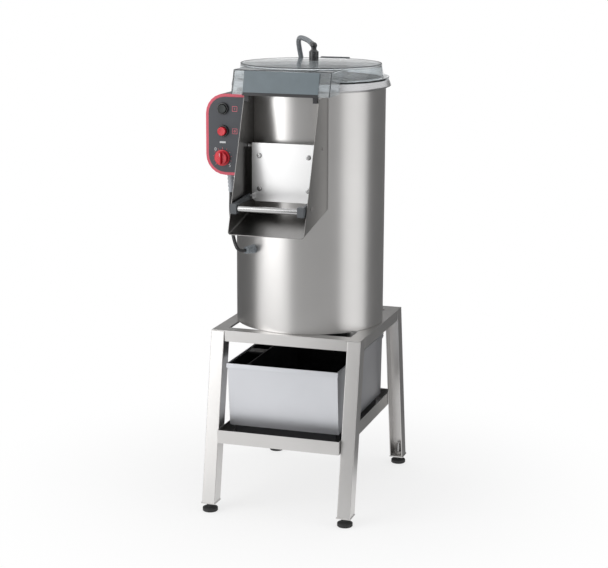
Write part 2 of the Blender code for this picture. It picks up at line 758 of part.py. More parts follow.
def build_top_frame():
    """Four angle rails, mitred on top and welded together; it carries the drum."""
    half = STAND_WIDTH / 2
    frame = outline("top_frame", [
        [(-half, STAND_FRONT), (half, STAND_FRONT), (half, STAND_REAR), (-half, STAND_REAR)],
        [(-half + RAIL_WIDTH, STAND_FRONT + RAIL_WIDTH), (half - RAIL_WIDTH, STAND_FRONT + RAIL_WIDTH),
         (half - RAIL_WIDTH, STAND_REAR - RAIL_WIDTH), (-half + RAIL_WIDTH, STAND_REAR - RAIL_WIDTH)]],
        STAND_HEIGHT - RAIL_SHEET, STAND_HEIGHT)
    low = STAND_HEIGHT - RAIL_DROP
    high = STAND_HEIGHT - RAIL_SHEET / 2
    across = LEG_INNER_X - GAP
    join(frame, box("front_skirt", (-across, STAND_FRONT, low), (across, STAND_FRONT + RAIL_SHEET, high)))
    join(frame, box("rear_skirt", (-across, STAND_REAR - RAIL_SHEET, low), (across, STAND_REAR, high)))
    skirt_front = STAND_FRONT + LEG_DEPTH + GAP
    skirt_rear = STAND_REAR - LEG_DEPTH - GAP
    join(frame, box("left_skirt", (-half, skirt_front, low), (-half + RAIL_SHEET, skirt_rear, high)))
    join(frame, box("right_skirt", (half - RAIL_SHEET, skirt_front, low), (half, skirt_rear, high)))
    for x, y in base_bolt_places():
        cut(frame, cylinder(
            "frame_hole", BASE_BOLT_RADIUS + GAP, (x, y, low), (x, y, STAND_HEIGHT + OVERRUN)))
    finish(frame, STEEL)


def base_bolt_places():
    """Four bolts over the four rails, each in the middle of one of the drum's flats."""
    turns = [2 * pi * number / BASE_BOLTS + pi / DRUM_SIDES for number in range(BASE_BOLTS)]
    return [(BASE_BOLT_CIRCLE * cos(turn), BASE_BOLT_CIRCLE * sin(turn)) for turn in turns]


def leg_face(height, front):
    """The outer plane of the legs at a height."""
    lean = LEG_LEAN * (STAND_HEIGHT - height)
    return STAND_FRONT - lean if front else STAND_REAR + lean


def build_tray():
    """A shallow sheet tray between the legs, its front lip a little ahead of them."""
    across = LEG_INNER_X - TRAY_CLEARANCE
    middle = TRAY_TOP - TRAY_LIP / 2
    front = leg_face(middle, True) - TRAY_FORWARD
    rear = leg_face(middle, False)
    tray = box("tray", (-across, front, TRAY_TOP - TRAY_LIP), (across, rear, TRAY_TOP))
    cut(tray, box(
        "tray_inside", (-across + TRAY_SHEET, front + TRAY_SHEET, TRAY_TOP - TRAY_LIP + TRAY_SHEET),
        (across - TRAY_SHEET, rear - TRAY_SHEET, TRAY_TOP + OVERRUN)))
    finish(tray, STEEL)


def build_runners():
    """The black frame in the tray that the filter box slides on."""
    across = BOX_WIDTH / 2 - RUNNER_INSET
    front = -BOX_FRONT + BOX_FRONT_DRAFT + RUNNER_INSET
    rear = BOX_REAR - BOX_REAR_DRAFT - RUNNER_INSET
    runners = outline("box_runners", [
        [(-across, front), (across, front), (across, rear), (-across, rear)],
        [(-across + RUNNER_WIDTH, front + RUNNER_WIDTH), (across - RUNNER_WIDTH, front + RUNNER_WIDTH),
         (across - RUNNER_WIDTH, rear - RUNNER_WIDTH), (-across + RUNNER_WIDTH, rear - RUNNER_WIDTH)]],
        TRAY_TOP - TRAY_LIP + TRAY_SHEET + GAP, BOX_BASE - GAP)
    finish(runners, BLACK)


# Filter box


def tapered(name, half, front, rear, low, high):
    """A block as wide as the filter box's outline with its leaning front and rear faces."""
    def lean(height):
        return (BOX_TOP - height) / (BOX_TOP - BOX_BASE)
    side = [
        (-front + BOX_FRONT_DRAFT * lean(low), low), (rear - BOX_REAR_DRAFT * lean(low), low),
        (rear - BOX_REAR_DRAFT * lean(high), high), (-front + BOX_FRONT_DRAFT * lean(high), high)]
    return outline(name, [side], half[0], half[1], "X")


def build_filter_box(slide):
    """The box that catches peel and water, with its rolled rim and its outlet."""
    half = BOX_WIDTH / 2 - BOX_RIM_EDGE
    front = BOX_FRONT - BOX_RIM_EDGE
    rear = BOX_REAR - BOX_RIM_EDGE
    body = tapered("filter_box", (-half, half), front, rear, BOX_BASE, BOX_TOP)
    rim = box(
        "box_rim", (-BOX_WIDTH / 2, -BOX_FRONT, BOX_TOP - BOX_RIM_HEIGHT), (BOX_WIDTH / 2, BOX_REAR, BOX_TOP))
    join(body, rim)
    outlet_x = (-half + DIVIDER_X) / 2
    outlet_z = BOX_BASE + OUTLET_RISE
    back = rear - BOX_REAR_DRAFT
    join(body, cylinder(
        "outlet_tube", OUTLET_RADIUS, (outlet_x, back - OVERRUN, outlet_z),
        (outlet_x, back + OUTLET_LENGTH, outlet_z), ROUND_SIDES))
    cut(body, tapered(
        "box_inside", (-half + BOX_SHEET, half - BOX_SHEET), front - BOX_SHEET, rear - BOX_SHEET,
        BOX_BASE + BOX_SHEET, BOX_TOP + OVERRUN))
    cut(body, cylinder(
        "outlet_bore", OUTLET_BORE, (outlet_x, back - 2 * OVERRUN, outlet_z),
        (outlet_x, back + OUTLET_LENGTH + OVERRUN, outlet_z), ROUND_SIDES))
    finish(body, BOX_STEEL, slide)
    build_basket(slide, half - BOX_SHEET - GAP, front - BOX_SHEET - GAP, rear - BOX_SHEET - GAP)


def build_basket(slide, half, front, rear):
    """The dark inner basket: a wide bay, a narrow one at the left, and a strip across that."""
    base = BOX_BASE + BOX_SHEET + GAP
    top = BOX_TOP - BASKET_DROP
    basket = tapered("filter_basket", (-half, half), front, rear, base, top)
    floor = base + BASKET_WALL
    bays = [
        (-half + BASKET_WALL, DIVIDER_X - BASKET_WALL / 2),
        (DIVIDER_X + BASKET_WALL / 2, half - BASKET_WALL)]
    for number, bay in enumerate(bays):
        cut(basket, tapered(
            f"bay_{number}", bay, front - BASKET_WALL, rear - BASKET_WALL, floor, BOX_TOP + OVERRUN))
    outlet_z = BOX_BASE + OUTLET_RISE
    outlet_x = (-BOX_WIDTH / 2 + BOX_RIM_EDGE + DIVIDER_X) / 2
    cut(basket, cylinder(
        "basket_outlet", OUTLET_BORE, (outlet_x, rear - BOX_REAR_DRAFT - 2 * OVERRUN, outlet_z),
        (outlet_x, rear + OVERRUN, outlet_z), ROUND_SIDES))
    join(basket, box(
        "strip", (-half + BASKET_WALL / 2, STRIP_FRONT, top - STRIP_HEIGHT),
        (DIVIDER_X, STRIP_FRONT + STRIP_WIDTH, top - BASKET_WALL / 2)))
    finish(basket, BLACK, slide)


# Drum


def neck_opening(name, low_y, high_y):
    """The space that the door's neck takes out of the drum's wall."""
    half = NECK_HALF_WIDTH + GAP
    return box(name, (-half, low_y, NECK_BASE - GAP), (half, high_y, NECK_TOP + GAP))


def build_drum():
    """The shell, its rim, the base ring, the chamber floor and the abrasive liner."""
    front = -DRUM_RADIUS - OVERRUN
    shell = ring("drum_shell", DRUM_BORE, DRUM_RADIUS, DRUM_BASE, DRUM_TOP, DRUM_SIDES)
    cut(shell, neck_opening("shell_opening", front, 0))
    finish(shell, STEEL)
    skirt = DRUM_RADIUS + GAP
    rim = turned("top_rim", [
        (RIM_INNER, RIM_TOP), (RIM_SHOULDER, RIM_TOP), (RIM_RADIUS, RIM_BULGE_BASE),
        (skirt, RIM_BASE), (skirt, DRUM_TOP + GAP), (RIM_INNER, DRUM_TOP + GAP)], DRUM_SIDES)
    finish(rim, BRIGHT)
    base = ring(
        "base_ring", BASE_RING_INNER, DRUM_BORE - GAP, DRUM_BASE, DRUM_BASE + BASE_RING_HEIGHT, DRUM_SIDES)
    seat = DRUM_BASE + BASE_RING_HEIGHT
    for number, (x, y) in enumerate(base_bolt_places()):
        stud_end = STAND_HEIGHT - RAIL_SHEET - BOLT_HEAD_HEIGHT
        join(base, cylinder(
            f"stud_{number}", BASE_BOLT_RADIUS, (x, y, stud_end), (x, y, seat), PIN_SIDES))
        join(base, cylinder(
            f"stud_head_{number}", BOLT_HEAD_RADIUS, (x, y, seat - BOLT_HEAD_HEIGHT / 2),
            (x, y, seat + BOLT_HEAD_HEIGHT), HEX_SIDES))
    finish(base, STEEL)
    floor_base = FLOOR_TOP - FLOOR_SHEET
    floor = ring(
        "chamber_floor", HOUSING_RADIUS + GAP, DRUM_BORE - GAP, floor_base, FLOOR_TOP, DRUM_SIDES)
    cut(floor, cylinder(
        "drain_hole", DRAIN_RADIUS + GAP, (DRAIN_X, DRAIN_Y, floor_base - OVERRUN),
        (DRAIN_X, DRAIN_Y, FLOOR_TOP + OVERRUN), ROUND_SIDES))
    finish(floor, STEEL)
    liner = ring(
        "abrasive_liner", LINER_RADIUS - LINER_SHEET, LINER_RADIUS, LINER_BASE, LINER_TOP, DRUM_SIDES)
    cut(liner, neck_opening("liner_opening", front, 0))
    finish(liner, ABRASIVE)


# Turning plate and drive


def build_plate(spin):
    """The abrasive plate with its hub and three low humps."""
    top = PLATE_BASE + PLATE_HEIGHT
    plate = turned("abrasive_plate", [
        (0, top), (PLATE_RADIUS, top), (PLATE_RADIUS, PLATE_BASE), (HUB_RADIUS, PLATE_BASE),
        (HUB_RADIUS, HUB_BASE), (0, HUB_BASE)], DRUM_SIDES)
    for number in range(WAVES):
        angle = 2 * pi * number / WAVES + pi / 6
        near = HUB_RADIUS + WAVE_RADIUS
        far = PLATE_RADIUS - WAVE_RADIUS
        height = top - WAVE_RADIUS + PLATE_WAVE
        hump = cylinder(
            f"hump_{number}", WAVE_RADIUS, (near * cos(angle), near * sin(angle), height),
            (far * cos(angle), far * sin(angle), height), PIN_SIDES)
        cut(hump, box(
            f"hump_base_{number}", (-PLATE_RADIUS, -PLATE_RADIUS, height - 2 * WAVE_RADIUS),
            (PLATE_RADIUS, PLATE_RADIUS, PLATE_BASE + PLATE_HEIGHT / 2)))
        join(plate, hump)
    cut(plate, cylinder(
        "plate_bore", SHAFT_RADIUS + GAP, (0, 0, HUB_BASE - OVERRUN), (0, 0, SHAFT_TOP + GAP), ROUND_SIDES))
    finish(plate, ABRASIVE, spin)
    shaft = cylinder("drive_shaft", SHAFT_RADIUS, (0, 0, SHAFT_BASE), (0, 0, SHAFT_TOP), ROUND_SIDES)
    finish(shaft, BRIGHT, spin)
    bore = SHAFT_RADIUS + GAP
    pulley = [(bore, PULLEY_BASE + PULLEY_WIDTH)] + pulley_line(PULLEY_RADIUS) + [(bore, PULLEY_BASE)]
    finish(turned("driven_pulley", pulley, PULLEY_SIDES), CAST, spin)


def pulley_line(radius):
    """The outer profile of a flat-belt pulley with two lips."""
    top = PULLEY_BASE + PULLEY_WIDTH
    lip = radius + PULLEY_LIP
    return [
        (lip, top), (lip, top - PULLEY_LIP_HEIGHT), (radius, top - PULLEY_LIP_HEIGHT),
        (radius, PULLEY_BASE + PULLEY_LIP_HEIGHT), (lip, PULLEY_BASE + PULLEY_LIP_HEIGHT), (lip, PULLEY_BASE)]


def build_bearings():
    """The housing under the floor, two bearings in it and the seal on top."""
    flange_top = FLOOR_TOP - FLOOR_SHEET - GAP
    finish(turned("bearing_housing", [
        (HOUSING_BORE, HOUSING_TOP), (HOUSING_RADIUS, HOUSING_TOP), (HOUSING_RADIUS, flange_top),
        (FLANGE_RADIUS, flange_top), (FLANGE_RADIUS, flange_top - FLANGE_HEIGHT),
        (HOUSING_RADIUS, flange_top - FLANGE_HEIGHT), (HOUSING_RADIUS, HOUSING_BASE),
        (HOUSING_BORE, HOUSING_BASE)], ROUND_SIDES), CAST)
    outer = HOUSING_BORE - GAP
    inner = SHAFT_RADIUS + RUNNING
    low = HOUSING_BASE + BEARING_MARGIN
    seal_base = HOUSING_TOP - SEAL_HEIGHT
    high = seal_base - GAP - BEARING_WIDTH
    for name, base in (("lower_bearing", low), ("upper_bearing", high)):
        finish(ring(name, inner, outer, base, base + BEARING_WIDTH, ROUND_SIDES), BRIGHT)
    finish(ring("shaft_seal", inner, outer, seal_base, HOUSING_TOP, ROUND_SIDES), RUBBER)


def belt_loop(wall):
    """The belt's outline around both pulleys, at a height of wall above them."""
    big = PULLEY_RADIUS + BELT_SEAT + wall
    small = MOTOR_PULLEY_RADIUS + BELT_SEAT + wall
    reach = asin((big - small) / MOTOR_Y)
    turn = degrees(reach)
    return (
        arc(0, 0, big, 180 - turn, 360 + turn, PULLEY_SIDES // 2)
        + arc(0, MOTOR_Y, small, turn, 180 - turn, PIN_SIDES // 2))


def build_motor(spin):
    """The motor, its pulley, the belt, and the bracket that hangs from the chamber floor."""
    place = (0, MOTOR_Y, 0)
    shoulder = MOTOR_RADIUS - PULLEY_LIP
    motor = turned("motor_body", [
        (0, MOTOR_TOP), (MOTOR_RADIUS, MOTOR_TOP), (MOTOR_RADIUS, MOTOR_BASE + OVERRUN),
        (shoulder, MOTOR_BASE), (0, MOTOR_BASE)], ROUND_SIDES, place)
    finish(motor, MOTOR_GREY)
    pulley = [(0, PULLEY_BASE + PULLEY_WIDTH)] + pulley_line(MOTOR_PULLEY_RADIUS) + [
        (MOTOR_SHAFT_RADIUS, PULLEY_BASE), (MOTOR_SHAFT_RADIUS, MOTOR_TOP + GAP), (0, MOTOR_TOP + GAP)]
    finish(turned("motor_pulley", pulley, ROUND_SIDES, place), CAST, spin)
    belt = outline("drive_belt", [belt_loop(BELT_WALL), belt_loop(0)], BELT_BASE, BELT_BASE + BELT_HEIGHT)
    finish(belt, RUBBER)
    low = MOTOR_TOP + GAP
    bracket = box(
        "motor_bracket", (-BRACKET_HALF_WIDTH, BRACKET_FRONT, low),
        (BRACKET_HALF_WIDTH, BRACKET_REAR, low + BRACKET_SHEET))
    cut(bracket, cylinder(
        "shaft_hole", BRACKET_HOLE_RADIUS, (0, MOTOR_Y, low - OVERRUN),
        (0, MOTOR_Y, low + BRACKET_SHEET + OVERRUN), ROUND_SIDES))
    hanger_top = FLOOR_TOP - FLOOR_SHEET - GAP
    for number, (x, y) in enumerate(hanger_places()):
        join(bracket, cylinder(
            f"hanger_{number}", HANGER_RADIUS, (x, y, low + BRACKET_SHEET / 2), (x, y, hanger_top),
            PIN_SIDES))
    finish(bracket, STEEL)


def hanger_places():
    """Four posts at the bracket's corners, outside the belt."""
    edge = HANGER_RADIUS + PULLEY_LIP
    side = BRACKET_HALF_WIDTH - edge
    front = PULLEY_RADIUS + BELT_WALL + edge
    return [(x, y) for x in (-side, side) for y in (front, BRACKET_REAR - edge)]


def build_drain():
    """The pipe that drops water and peel into the filter box."""
    finish(ring(
        "drain_pipe", DRAIN_RADIUS - DRAIN_WALL, DRAIN_RADIUS, DRAIN_END, FLOOR_TOP, ROUND_SIDES,
        (DRAIN_X, DRAIN_Y, 0)), STEEL)


# Chute


def cheek_front(height):
    """The leaning front edge of the cheeks."""
    share = (height - CHUTE_LIP_HEIGHT) / (CHUTE_TOP - CHUTE_LIP_HEIGHT)
    return -CHUTE_LIP_FRONT + (CHUTE_LIP_FRONT - CHEEK_TOP_FRONT) * share


def build_chute():
    """One folded sheet: two cheeks and a sloping floor, fitted to the drum."""
    rear = -DRUM_RADIUS / 2
    low = CHUTE_LIP_HEIGHT
    outer = CHUTE_HALF_WIDTH
    inner = CHEEK_INNER
    bend = CHUTE_BEND - CHUTE_SHEET
    high = CHUTE_TOP + OVERRUN
    section = rounded((-outer, low), (outer, high), (CHUTE_BEND, CHUTE_BEND, 0, 0))
    hollow = rounded((-inner, low + CHUTE_SHEET), (inner, high), (bend, bend, 0, 0))
    cross = section[:-1] + hollow[-2::-1] + [hollow[-1], section[-1]]
    front = -CHUTE_LIP_FRONT - OVERRUN
    chute = outline("discharge_chute", [cross], front, rear, "Y")
    slope = Matrix.Identity(4)
    slope[2][1] = FLOOR_SLOPE
    chute.data.transform(slope)
    chute.location.z += FLOOR_SLOPE * ((front + rear) / 2 + CHUTE_LIP_FRONT)
    cheek = [
        (cheek_front(CHUTE_TOP), CHUTE_TOP), (rear - OVERRUN, CHUTE_TOP),
        (rear - OVERRUN, low - OVERRUN), (-CHUTE_LIP_FRONT, low - OVERRUN), (-CHUTE_LIP_FRONT, low)]
    wide = CHUTE_HALF_WIDTH + OVERRUN
    boolean(chute, outline("cheek_outline", [cheek], -wide, wide, "X"), "INTERSECT")
    cut(chute, drum_cylinder("chute_drum", DRUM_RADIUS + GAP, low - OVERRUN, CHUTE_TOP + OVERRUN))
    join_cheek_pins(chute)
    finish(chute, STEEL)


def build_neck():
    """The rectangular neck between the drum's wall and the door."""
    face = -DOOR_FRONT + DOOR_SHEET + 2 * GAP + SEAL_SHEET
    rear = -DRUM_RADIUS / 2
    neck = box("door_neck", (-NECK_HALF_WIDTH, face, NECK_BASE), (NECK_HALF_WIDTH, rear, NECK_TOP))
    cut(neck, box(
        "neck_bore", (-NECK_HALF_WIDTH + NECK_SHEET, face - OVERRUN, NECK_BASE + NECK_SHEET),
        (NECK_HALF_WIDTH - NECK_SHEET, rear + OVERRUN, NECK_TOP - NECK_SHEET)))
    cut(neck, drum_cylinder(
        "neck_drum", LINER_RADIUS - LINER_SHEET, NECK_BASE - OVERRUN, NECK_TOP + OVERRUN))
    finish(neck, STEEL)


def build_door(swing):
    """The door plate with its screws, hinge knuckles and ears, and its seal."""
    back = -DOOR_FRONT + DOOR_SHEET
    plate = outline("door_plate", [rounded(
        (-DOOR_HALF_WIDTH, DOOR_BASE), (DOOR_HALF_WIDTH, DOOR_TOP), (DOOR_CORNER, DOOR_CORNER, 0, 0))],
        -DOOR_FRONT, back, "Y")
    middle = -DOOR_FRONT + DOOR_SHEET / 2
    for x in (-SCREW_X, SCREW_X):
        for z in (SCREW_LOW, SCREW_HIGH):
            join(plate, cylinder(
                "screw", SCREW_RADIUS, (x, middle, z), (x, -DOOR_FRONT - SCREW_HEIGHT, z), PIN_SIDES,
                SCREW_RADIUS * SCREW_TOP_SHARE))
    for side in (-1, 1):
        near = side * KNUCKLE_INNER
        far = side * KNUCKLE_OUTER
        join(plate, outline("knuckle", [
            [(middle, HINGE_HEIGHT + KNUCKLE_RADIUS), (middle, HINGE_HEIGHT - KNUCKLE_RADIUS)]
            + arc(HINGE_Y, HINGE_HEIGHT, KNUCKLE_RADIUS, -90, 90, SMALL_SIDES // 2),
            arc(HINGE_Y, HINGE_HEIGHT, ROD_RADIUS + RUNNING, 0, 360, SMALL_SIDES)[1:]],
            min(near, far), max(near, far), "X"))
        build_handle_pivot(plate, side, middle)
    finish(plate, BRIGHT, swing)
    across = NECK_HALF_WIDTH
    inner = NECK_HALF_WIDTH - SEAL_EDGE
    seal = outline("door_seal", [
        rounded((-across, NECK_BASE), (across, NECK_TOP), (0, 0, 0, 0)),
        rounded((-inner, NECK_BASE + SEAL_EDGE), (inner, NECK_TOP - SEAL_EDGE), (0, 0, 0, 0))],
        back + GAP, back + GAP + SEAL_SHEET, "Y")
    finish(seal, RUBBER, swing)


def build_handle_pivot(plate, side, middle):
    """An ear on one of the door's lower corners, with the pin that an arm turns on."""
    near = side * (DOOR_HALF_WIDTH - 2 * PIVOT_EAR)
    far = side * (DOOR_HALF_WIDTH - PIVOT_EAR)
    join(plate, box(
        "ear", (min(near, far), PIVOT_Y - PIVOT_EAR_HALF, PIVOT_Z - PIVOT_EAR_HALF),
        (max(near, far), middle, PIVOT_Z + PIVOT_EAR_HALF)))
    join(plate, cylinder(
        "ear_pin", PIVOT_RADIUS, ((near + far) / 2, PIVOT_Y, PIVOT_Z),
        (side * (ARM_INNER + ARM_SHEET + GAP), PIVOT_Y, PIVOT_Z), PIN_SIDES))


def build_rod():
    """The door's hinge rod between the cheeks, with a collar at each end."""
    end = CHEEK_INNER - GAP
    rod = cylinder("door_hinge_rod", ROD_RADIUS, (-end, HINGE_Y, HINGE_HEIGHT), (end, HINGE_Y, HINGE_HEIGHT))
    for side in (-1, 1):
        join(rod, cylinder(
            f"collar_{side}", ROD_COLLAR_RADIUS, (side * end, HINGE_Y, HINGE_HEIGHT),
            (side * (end - ROD_COLLAR), HINGE_Y, HINGE_HEIGHT)))
    finish(rod, BRIGHT)


def build_handle(lever):
    """The bar and the two dark arms that end in caps."""
    for word, side in (("left", -1), ("right", 1)):
        near = side * ARM_INNER
        far = side * (ARM_INNER + ARM_SHEET)
        rear = PIVOT_Y + PIVOT_EAR_HALF
        step_y = REST_Y - REST_RADIUS - REST_MARGIN
        cap_rear = BAR_Y + CAP_DEPTH / 2
        cap_low = BAR_Z - CAP_HEIGHT / 2
        arm = outline(f"handle_arm_{word}", [[
            (rear, ARM_BASE), (rear, ARM_BASE + ARM_HEIGHT), (cap_rear, BAR_Z + CAP_HEIGHT / 2),
            (BAR_Y, BAR_Z + CAP_HEIGHT / 4), (BAR_Y, cap_low + CAP_ROUND), (cap_rear, cap_low + CAP_ROUND),
            (step_y, ARM_BASE - CAP_ROUND), (step_y, ARM_BASE)]], min(near, far), max(near, far), "X")
        near_cap = side * CAP_INNER
        far_cap = side * CAP_OUTER
        join(arm, outline("cap", [rounded(
            (BAR_Y - CAP_DEPTH / 2, cap_low), (cap_rear, cap_low + CAP_HEIGHT), (CAP_ROUND,) * 4,
            CAP_CORNER_STEPS)],
            min(near_cap, far_cap), max(near_cap, far_cap), "X"))
        cut(arm, cylinder(
            "arm_bore", PIVOT_RADIUS + RUNNING, (near - side * OVERRUN, PIVOT_Y, PIVOT_Z),
            (far + side * OVERRUN, PIVOT_Y, PIVOT_Z), PIN_SIDES))
        finish(arm, DARK_GREY, lever)
    end = CAP_INNER - GAP
    bar = cylinder("handle_bar", BAR_RADIUS, (-end, BAR_Y, BAR_Z), (end, BAR_Y, BAR_Z), ROUND_SIDES)
    finish(bar, BRIGHT, lever)


def join_cheek_pins(chute):
    """The pins that the arms rest on, through the cheeks, and the rod's heads outside them."""
    for side in (-1, 1):
        outside = side * CHUTE_HALF_WIDTH
        join(chute, cylinder(
            "rest_pin", REST_RADIUS, (side * ARM_INNER, REST_Y, REST_Z), (outside, REST_Y, REST_Z)))
        for y, z in ((REST_Y, REST_Z), (HINGE_Y, HINGE_HEIGHT)):
            join(chute, cylinder(
                "pin_head", REST_HEAD_RADIUS, (outside - side * CHUTE_SHEET / 2, y, z),
                (outside + side * REST_HEAD, y, z), PIN_SIDES, REST_HEAD_RADIUS * SCREW_TOP_SHARE))


# Lid


def hood_front(height, offset=0):
    """The leaning front of the hood, moved in by an offset."""
    return -HOOD_BASE_FRONT + PANEL_LEAN * (height - HOOD_BASE) + offset


def dome_line(wall):
    """The dome's profile from its crown down to its edge, a wall's thickness inside."""
    top = LID_TOP - wall
    radius = LID_TOP_RADIUS - wall
    return [
        (0, top + LID_CROWN), (radius - LID_ROUND, top), (radius, top - LID_ROUND),
        (LID_BASE_RADIUS - wall, LID_BASE)]


def hood_block(name, wall, base):
    """The hood's box with its leaning front, a wall's thickness inside."""
    top = HOOD_TOP - wall
    rear = wall - HOOD_REAR
    half = HOOD_HALF_WIDTH - wall
    side = [(hood_front(top, wall), top), (rear, top), (rear, base), (hood_front(base, wall), base)]
    return outline(name, [side], -half, half, "X")


def build_lid(lift):
    """The clear lid: a low dome with a box-shaped hood over the chute."""
    flange = [
        (LID_BASE_RADIUS, LID_BASE + LID_FLANGE), (LID_FLANGE_RADIUS, LID_BASE + LID_FLANGE),
        (LID_FLANGE_RADIUS, LID_BASE)]
    shell = turned("lid_shell", dome_line(0)[:-1] + flange + dome_line(LID_WALL)[::-1], DRUM_SIDES)
    cut(shell, hood_block("hood_space", LID_WALL, HOOD_BASE - OVERRUN))
    hood = hood_block("lid_hood", 0, HOOD_BASE)
    cut(hood, hood_block("hood_inside", LID_WALL, HOOD_BASE - OVERRUN))
    seam = LID_WALL / 2
    cut(hood, turned("hood_seam", [
        (0, LID_TOP + OVERRUN), (LID_TOP_RADIUS - seam, LID_TOP + OVERRUN),
        (LID_TOP_RADIUS - seam, LID_TOP - LID_ROUND), (LID_BASE_RADIUS - seam, LID_BASE - OVERRUN),
        (0, LID_BASE - OVERRUN)], DRUM_SIDES))
    cut(hood, drum_cylinder(
        "hood_rim_space", RIM_RADIUS + HOOD_RIM_CLEARANCE, HOOD_BASE - OVERRUN, LID_BASE + GAP))
    join(shell, hood)
    finish(shell, CLEAR, lift)
    build_gasket(lift)
    build_panel(lift)


def build_gasket(lift):
    """The dark ring between the drum's rim and the lid."""
    finish(ring(
        "lid_gasket", GASKET_INNER, GASKET_OUTER, RIM_TOP + GAP, LID_BASE - GAP, DRUM_SIDES), RUBBER, lift)


def build_panel(lift):
    """The slate panel on the hood's front, folded in under its edge, with two stops below."""
    seat = HOOD_BASE - GAP
    fold = seat - PANEL_FOLD
    rear = hood_front(HOOD_BASE, STOP_BEHIND + STOP_DEPTH)
    top = HOOD_TOP - PANEL_DROP
    side = [
        (hood_front(top, -GAP - PANEL_SHEET), top), (hood_front(top, -GAP), top),
        (hood_front(seat, -GAP), seat), (rear, seat), (rear, fold),
        (hood_front(fold, -GAP - PANEL_SHEET), fold)]
    panel = outline("lid_front_panel", [side], -PANEL_HALF_WIDTH, PANEL_HALF_WIDTH, "X")
    for number, x in enumerate((-STOP_X, STOP_X)):
        join(panel, box(
            f"stop_{number}", (x - STOP_HALF_WIDTH, rear - STOP_DEPTH, STOP_BASE),
            (x + STOP_HALF_WIDTH, rear - PANEL_FOLD / 2, seat - PANEL_FOLD / 2)))
    finish(panel, SLATE, lift)


def build_lid_hinge(lift):
    """The lid's leaf, the bracket on the drum and the pin through both."""
    bore = arc(LID_HINGE_Y, LID_HINGE_Z, LID_PIN_RADIUS + RUNNING, 0, 360, SMALL_SIDES)[1:]
    low = LID_HINGE_Z - LID_KNUCKLE_RADIUS
    high = LID_HINGE_Z + LID_KNUCKLE_RADIUS
    strap_front = LID_TOP_RADIUS - LID_ROUND * LEAF_REACH_SHARE
    leaf = outline("lid_hinge_leaf", [
        [(strap_front, high), (strap_front, low)]
        + arc(LID_HINGE_Y, LID_HINGE_Z, LID_KNUCKLE_RADIUS, -90, 90, SMALL_SIDES // 2), bore],
        -LEAF_HALF, LEAF_HALF, "X")
    cut(leaf, turned("leaf_lid", dome_line(-GAP) + [(0, LID_BASE)], DRUM_SIDES))
    finish(leaf, DARK_GREY, lift)
    plate_front = RIM_RADIUS + GAP
    plate_rear = plate_front + LID_BRACKET_SHEET
    turn = 180 - degrees(acos((LID_HINGE_Y - plate_rear) / LID_KNUCKLE_RADIUS))
    wrap = arc(LID_HINGE_Y, LID_HINGE_Z, LID_KNUCKLE_RADIUS, -turn, turn, SMALL_SIDES)
    foot_front = DRUM_RADIUS / 2
    bracket = outline("lid_hinge_bracket", [
        [(foot_front, BRACKET_FOOT_BASE), (plate_rear, BRACKET_FOOT_BASE)] + wrap
        + [(plate_front, wrap[-1][1]), (plate_front, BRACKET_FOOT_TOP), (foot_front, BRACKET_FOOT_TOP)],
        bore], -LID_HINGE_HALF, LID_HINGE_HALF, "X")
    cut(bracket, drum_cylinder(
        "bracket_drum", DRUM_RADIUS + GAP, BRACKET_FOOT_BASE - OVERRUN, BRACKET_FOOT_TOP + OVERRUN))
    clear = LEAF_HALF + GAP
    cut(bracket, box(
        "leaf_space", (-clear, plate_front - OVERRUN, low - LID_KNUCKLE_RADIUS / 2),
        (clear, LID_HINGE_Y + LID_KNUCKLE_RADIUS + OVERRUN, high + OVERRUN)))
    finish(bracket, DARK_GREY)
    finish(cylinder(
        "lid_hinge_pin", LID_PIN_RADIUS, (-LID_HINGE_HALF, LID_HINGE_Y, LID_HINGE_Z),
        (LID_HINGE_HALF, LID_HINGE_Y, LID_HINGE_Z)), BRIGHT)


# Water feed


def spout_line():
    """Where the elbow's spout starts and the way it points, towards the hose's first point."""
    ball = Vector((ELBOW_X, ELBOW_Y, LID_TOP + LID_CROWN + BALL_HEIGHT))
    way = (Vector(HOSE_ROUTE[0]) - ball).normalized()
    return ball, way


def build_elbow(lift):
    """The water elbow on the lid: a body with a ball on top and a spout."""
    seat = LID_TOP + LID_CROWN + GAP
    profile = [(0, BALL_HEIGHT + BALL_RADIUS)]
    for step in range(1, BALL_STEPS + 1):
        angle = pi / 2 - BALL_ARC * step / BALL_STEPS
        profile.append((BALL_RADIUS * cos(angle), BALL_HEIGHT + BALL_RADIUS * sin(angle)))
    profile += [
        (ELBOW_SHOULDER * ELBOW_NECK_SHARE, ELBOW_BODY_TOP), (ELBOW_SHOULDER, ELBOW_BODY_TOP),
        (ELBOW_RADIUS, ELBOW_BODY), (ELBOW_RADIUS, 0), (0, 0)]
    elbow = turned("water_elbow", profile, SMALL_SIDES, (ELBOW_X, ELBOW_Y, seat))
    ball, way = spout_line()
    join(elbow, cylinder("spout", SPOUT_RADIUS, ball, ball + way * SPOUT_LENGTH))
    finish(elbow, BLACK, lift)


def build_hose():
    """The hose from the elbow, up over the lid's edge and down to the inlet pipe."""
    ball, way = spout_line()
    route = [ball + way * (SPOUT_LENGTH + GAP)] + HOSE_ROUTE + [(INLET_X, INLET_Y, INLET_TOP + GAP)]
    finish(tube("water_hose", smooth_route(route, ROUTE_STEPS), HOSE_RADIUS), HOSE_GREY)


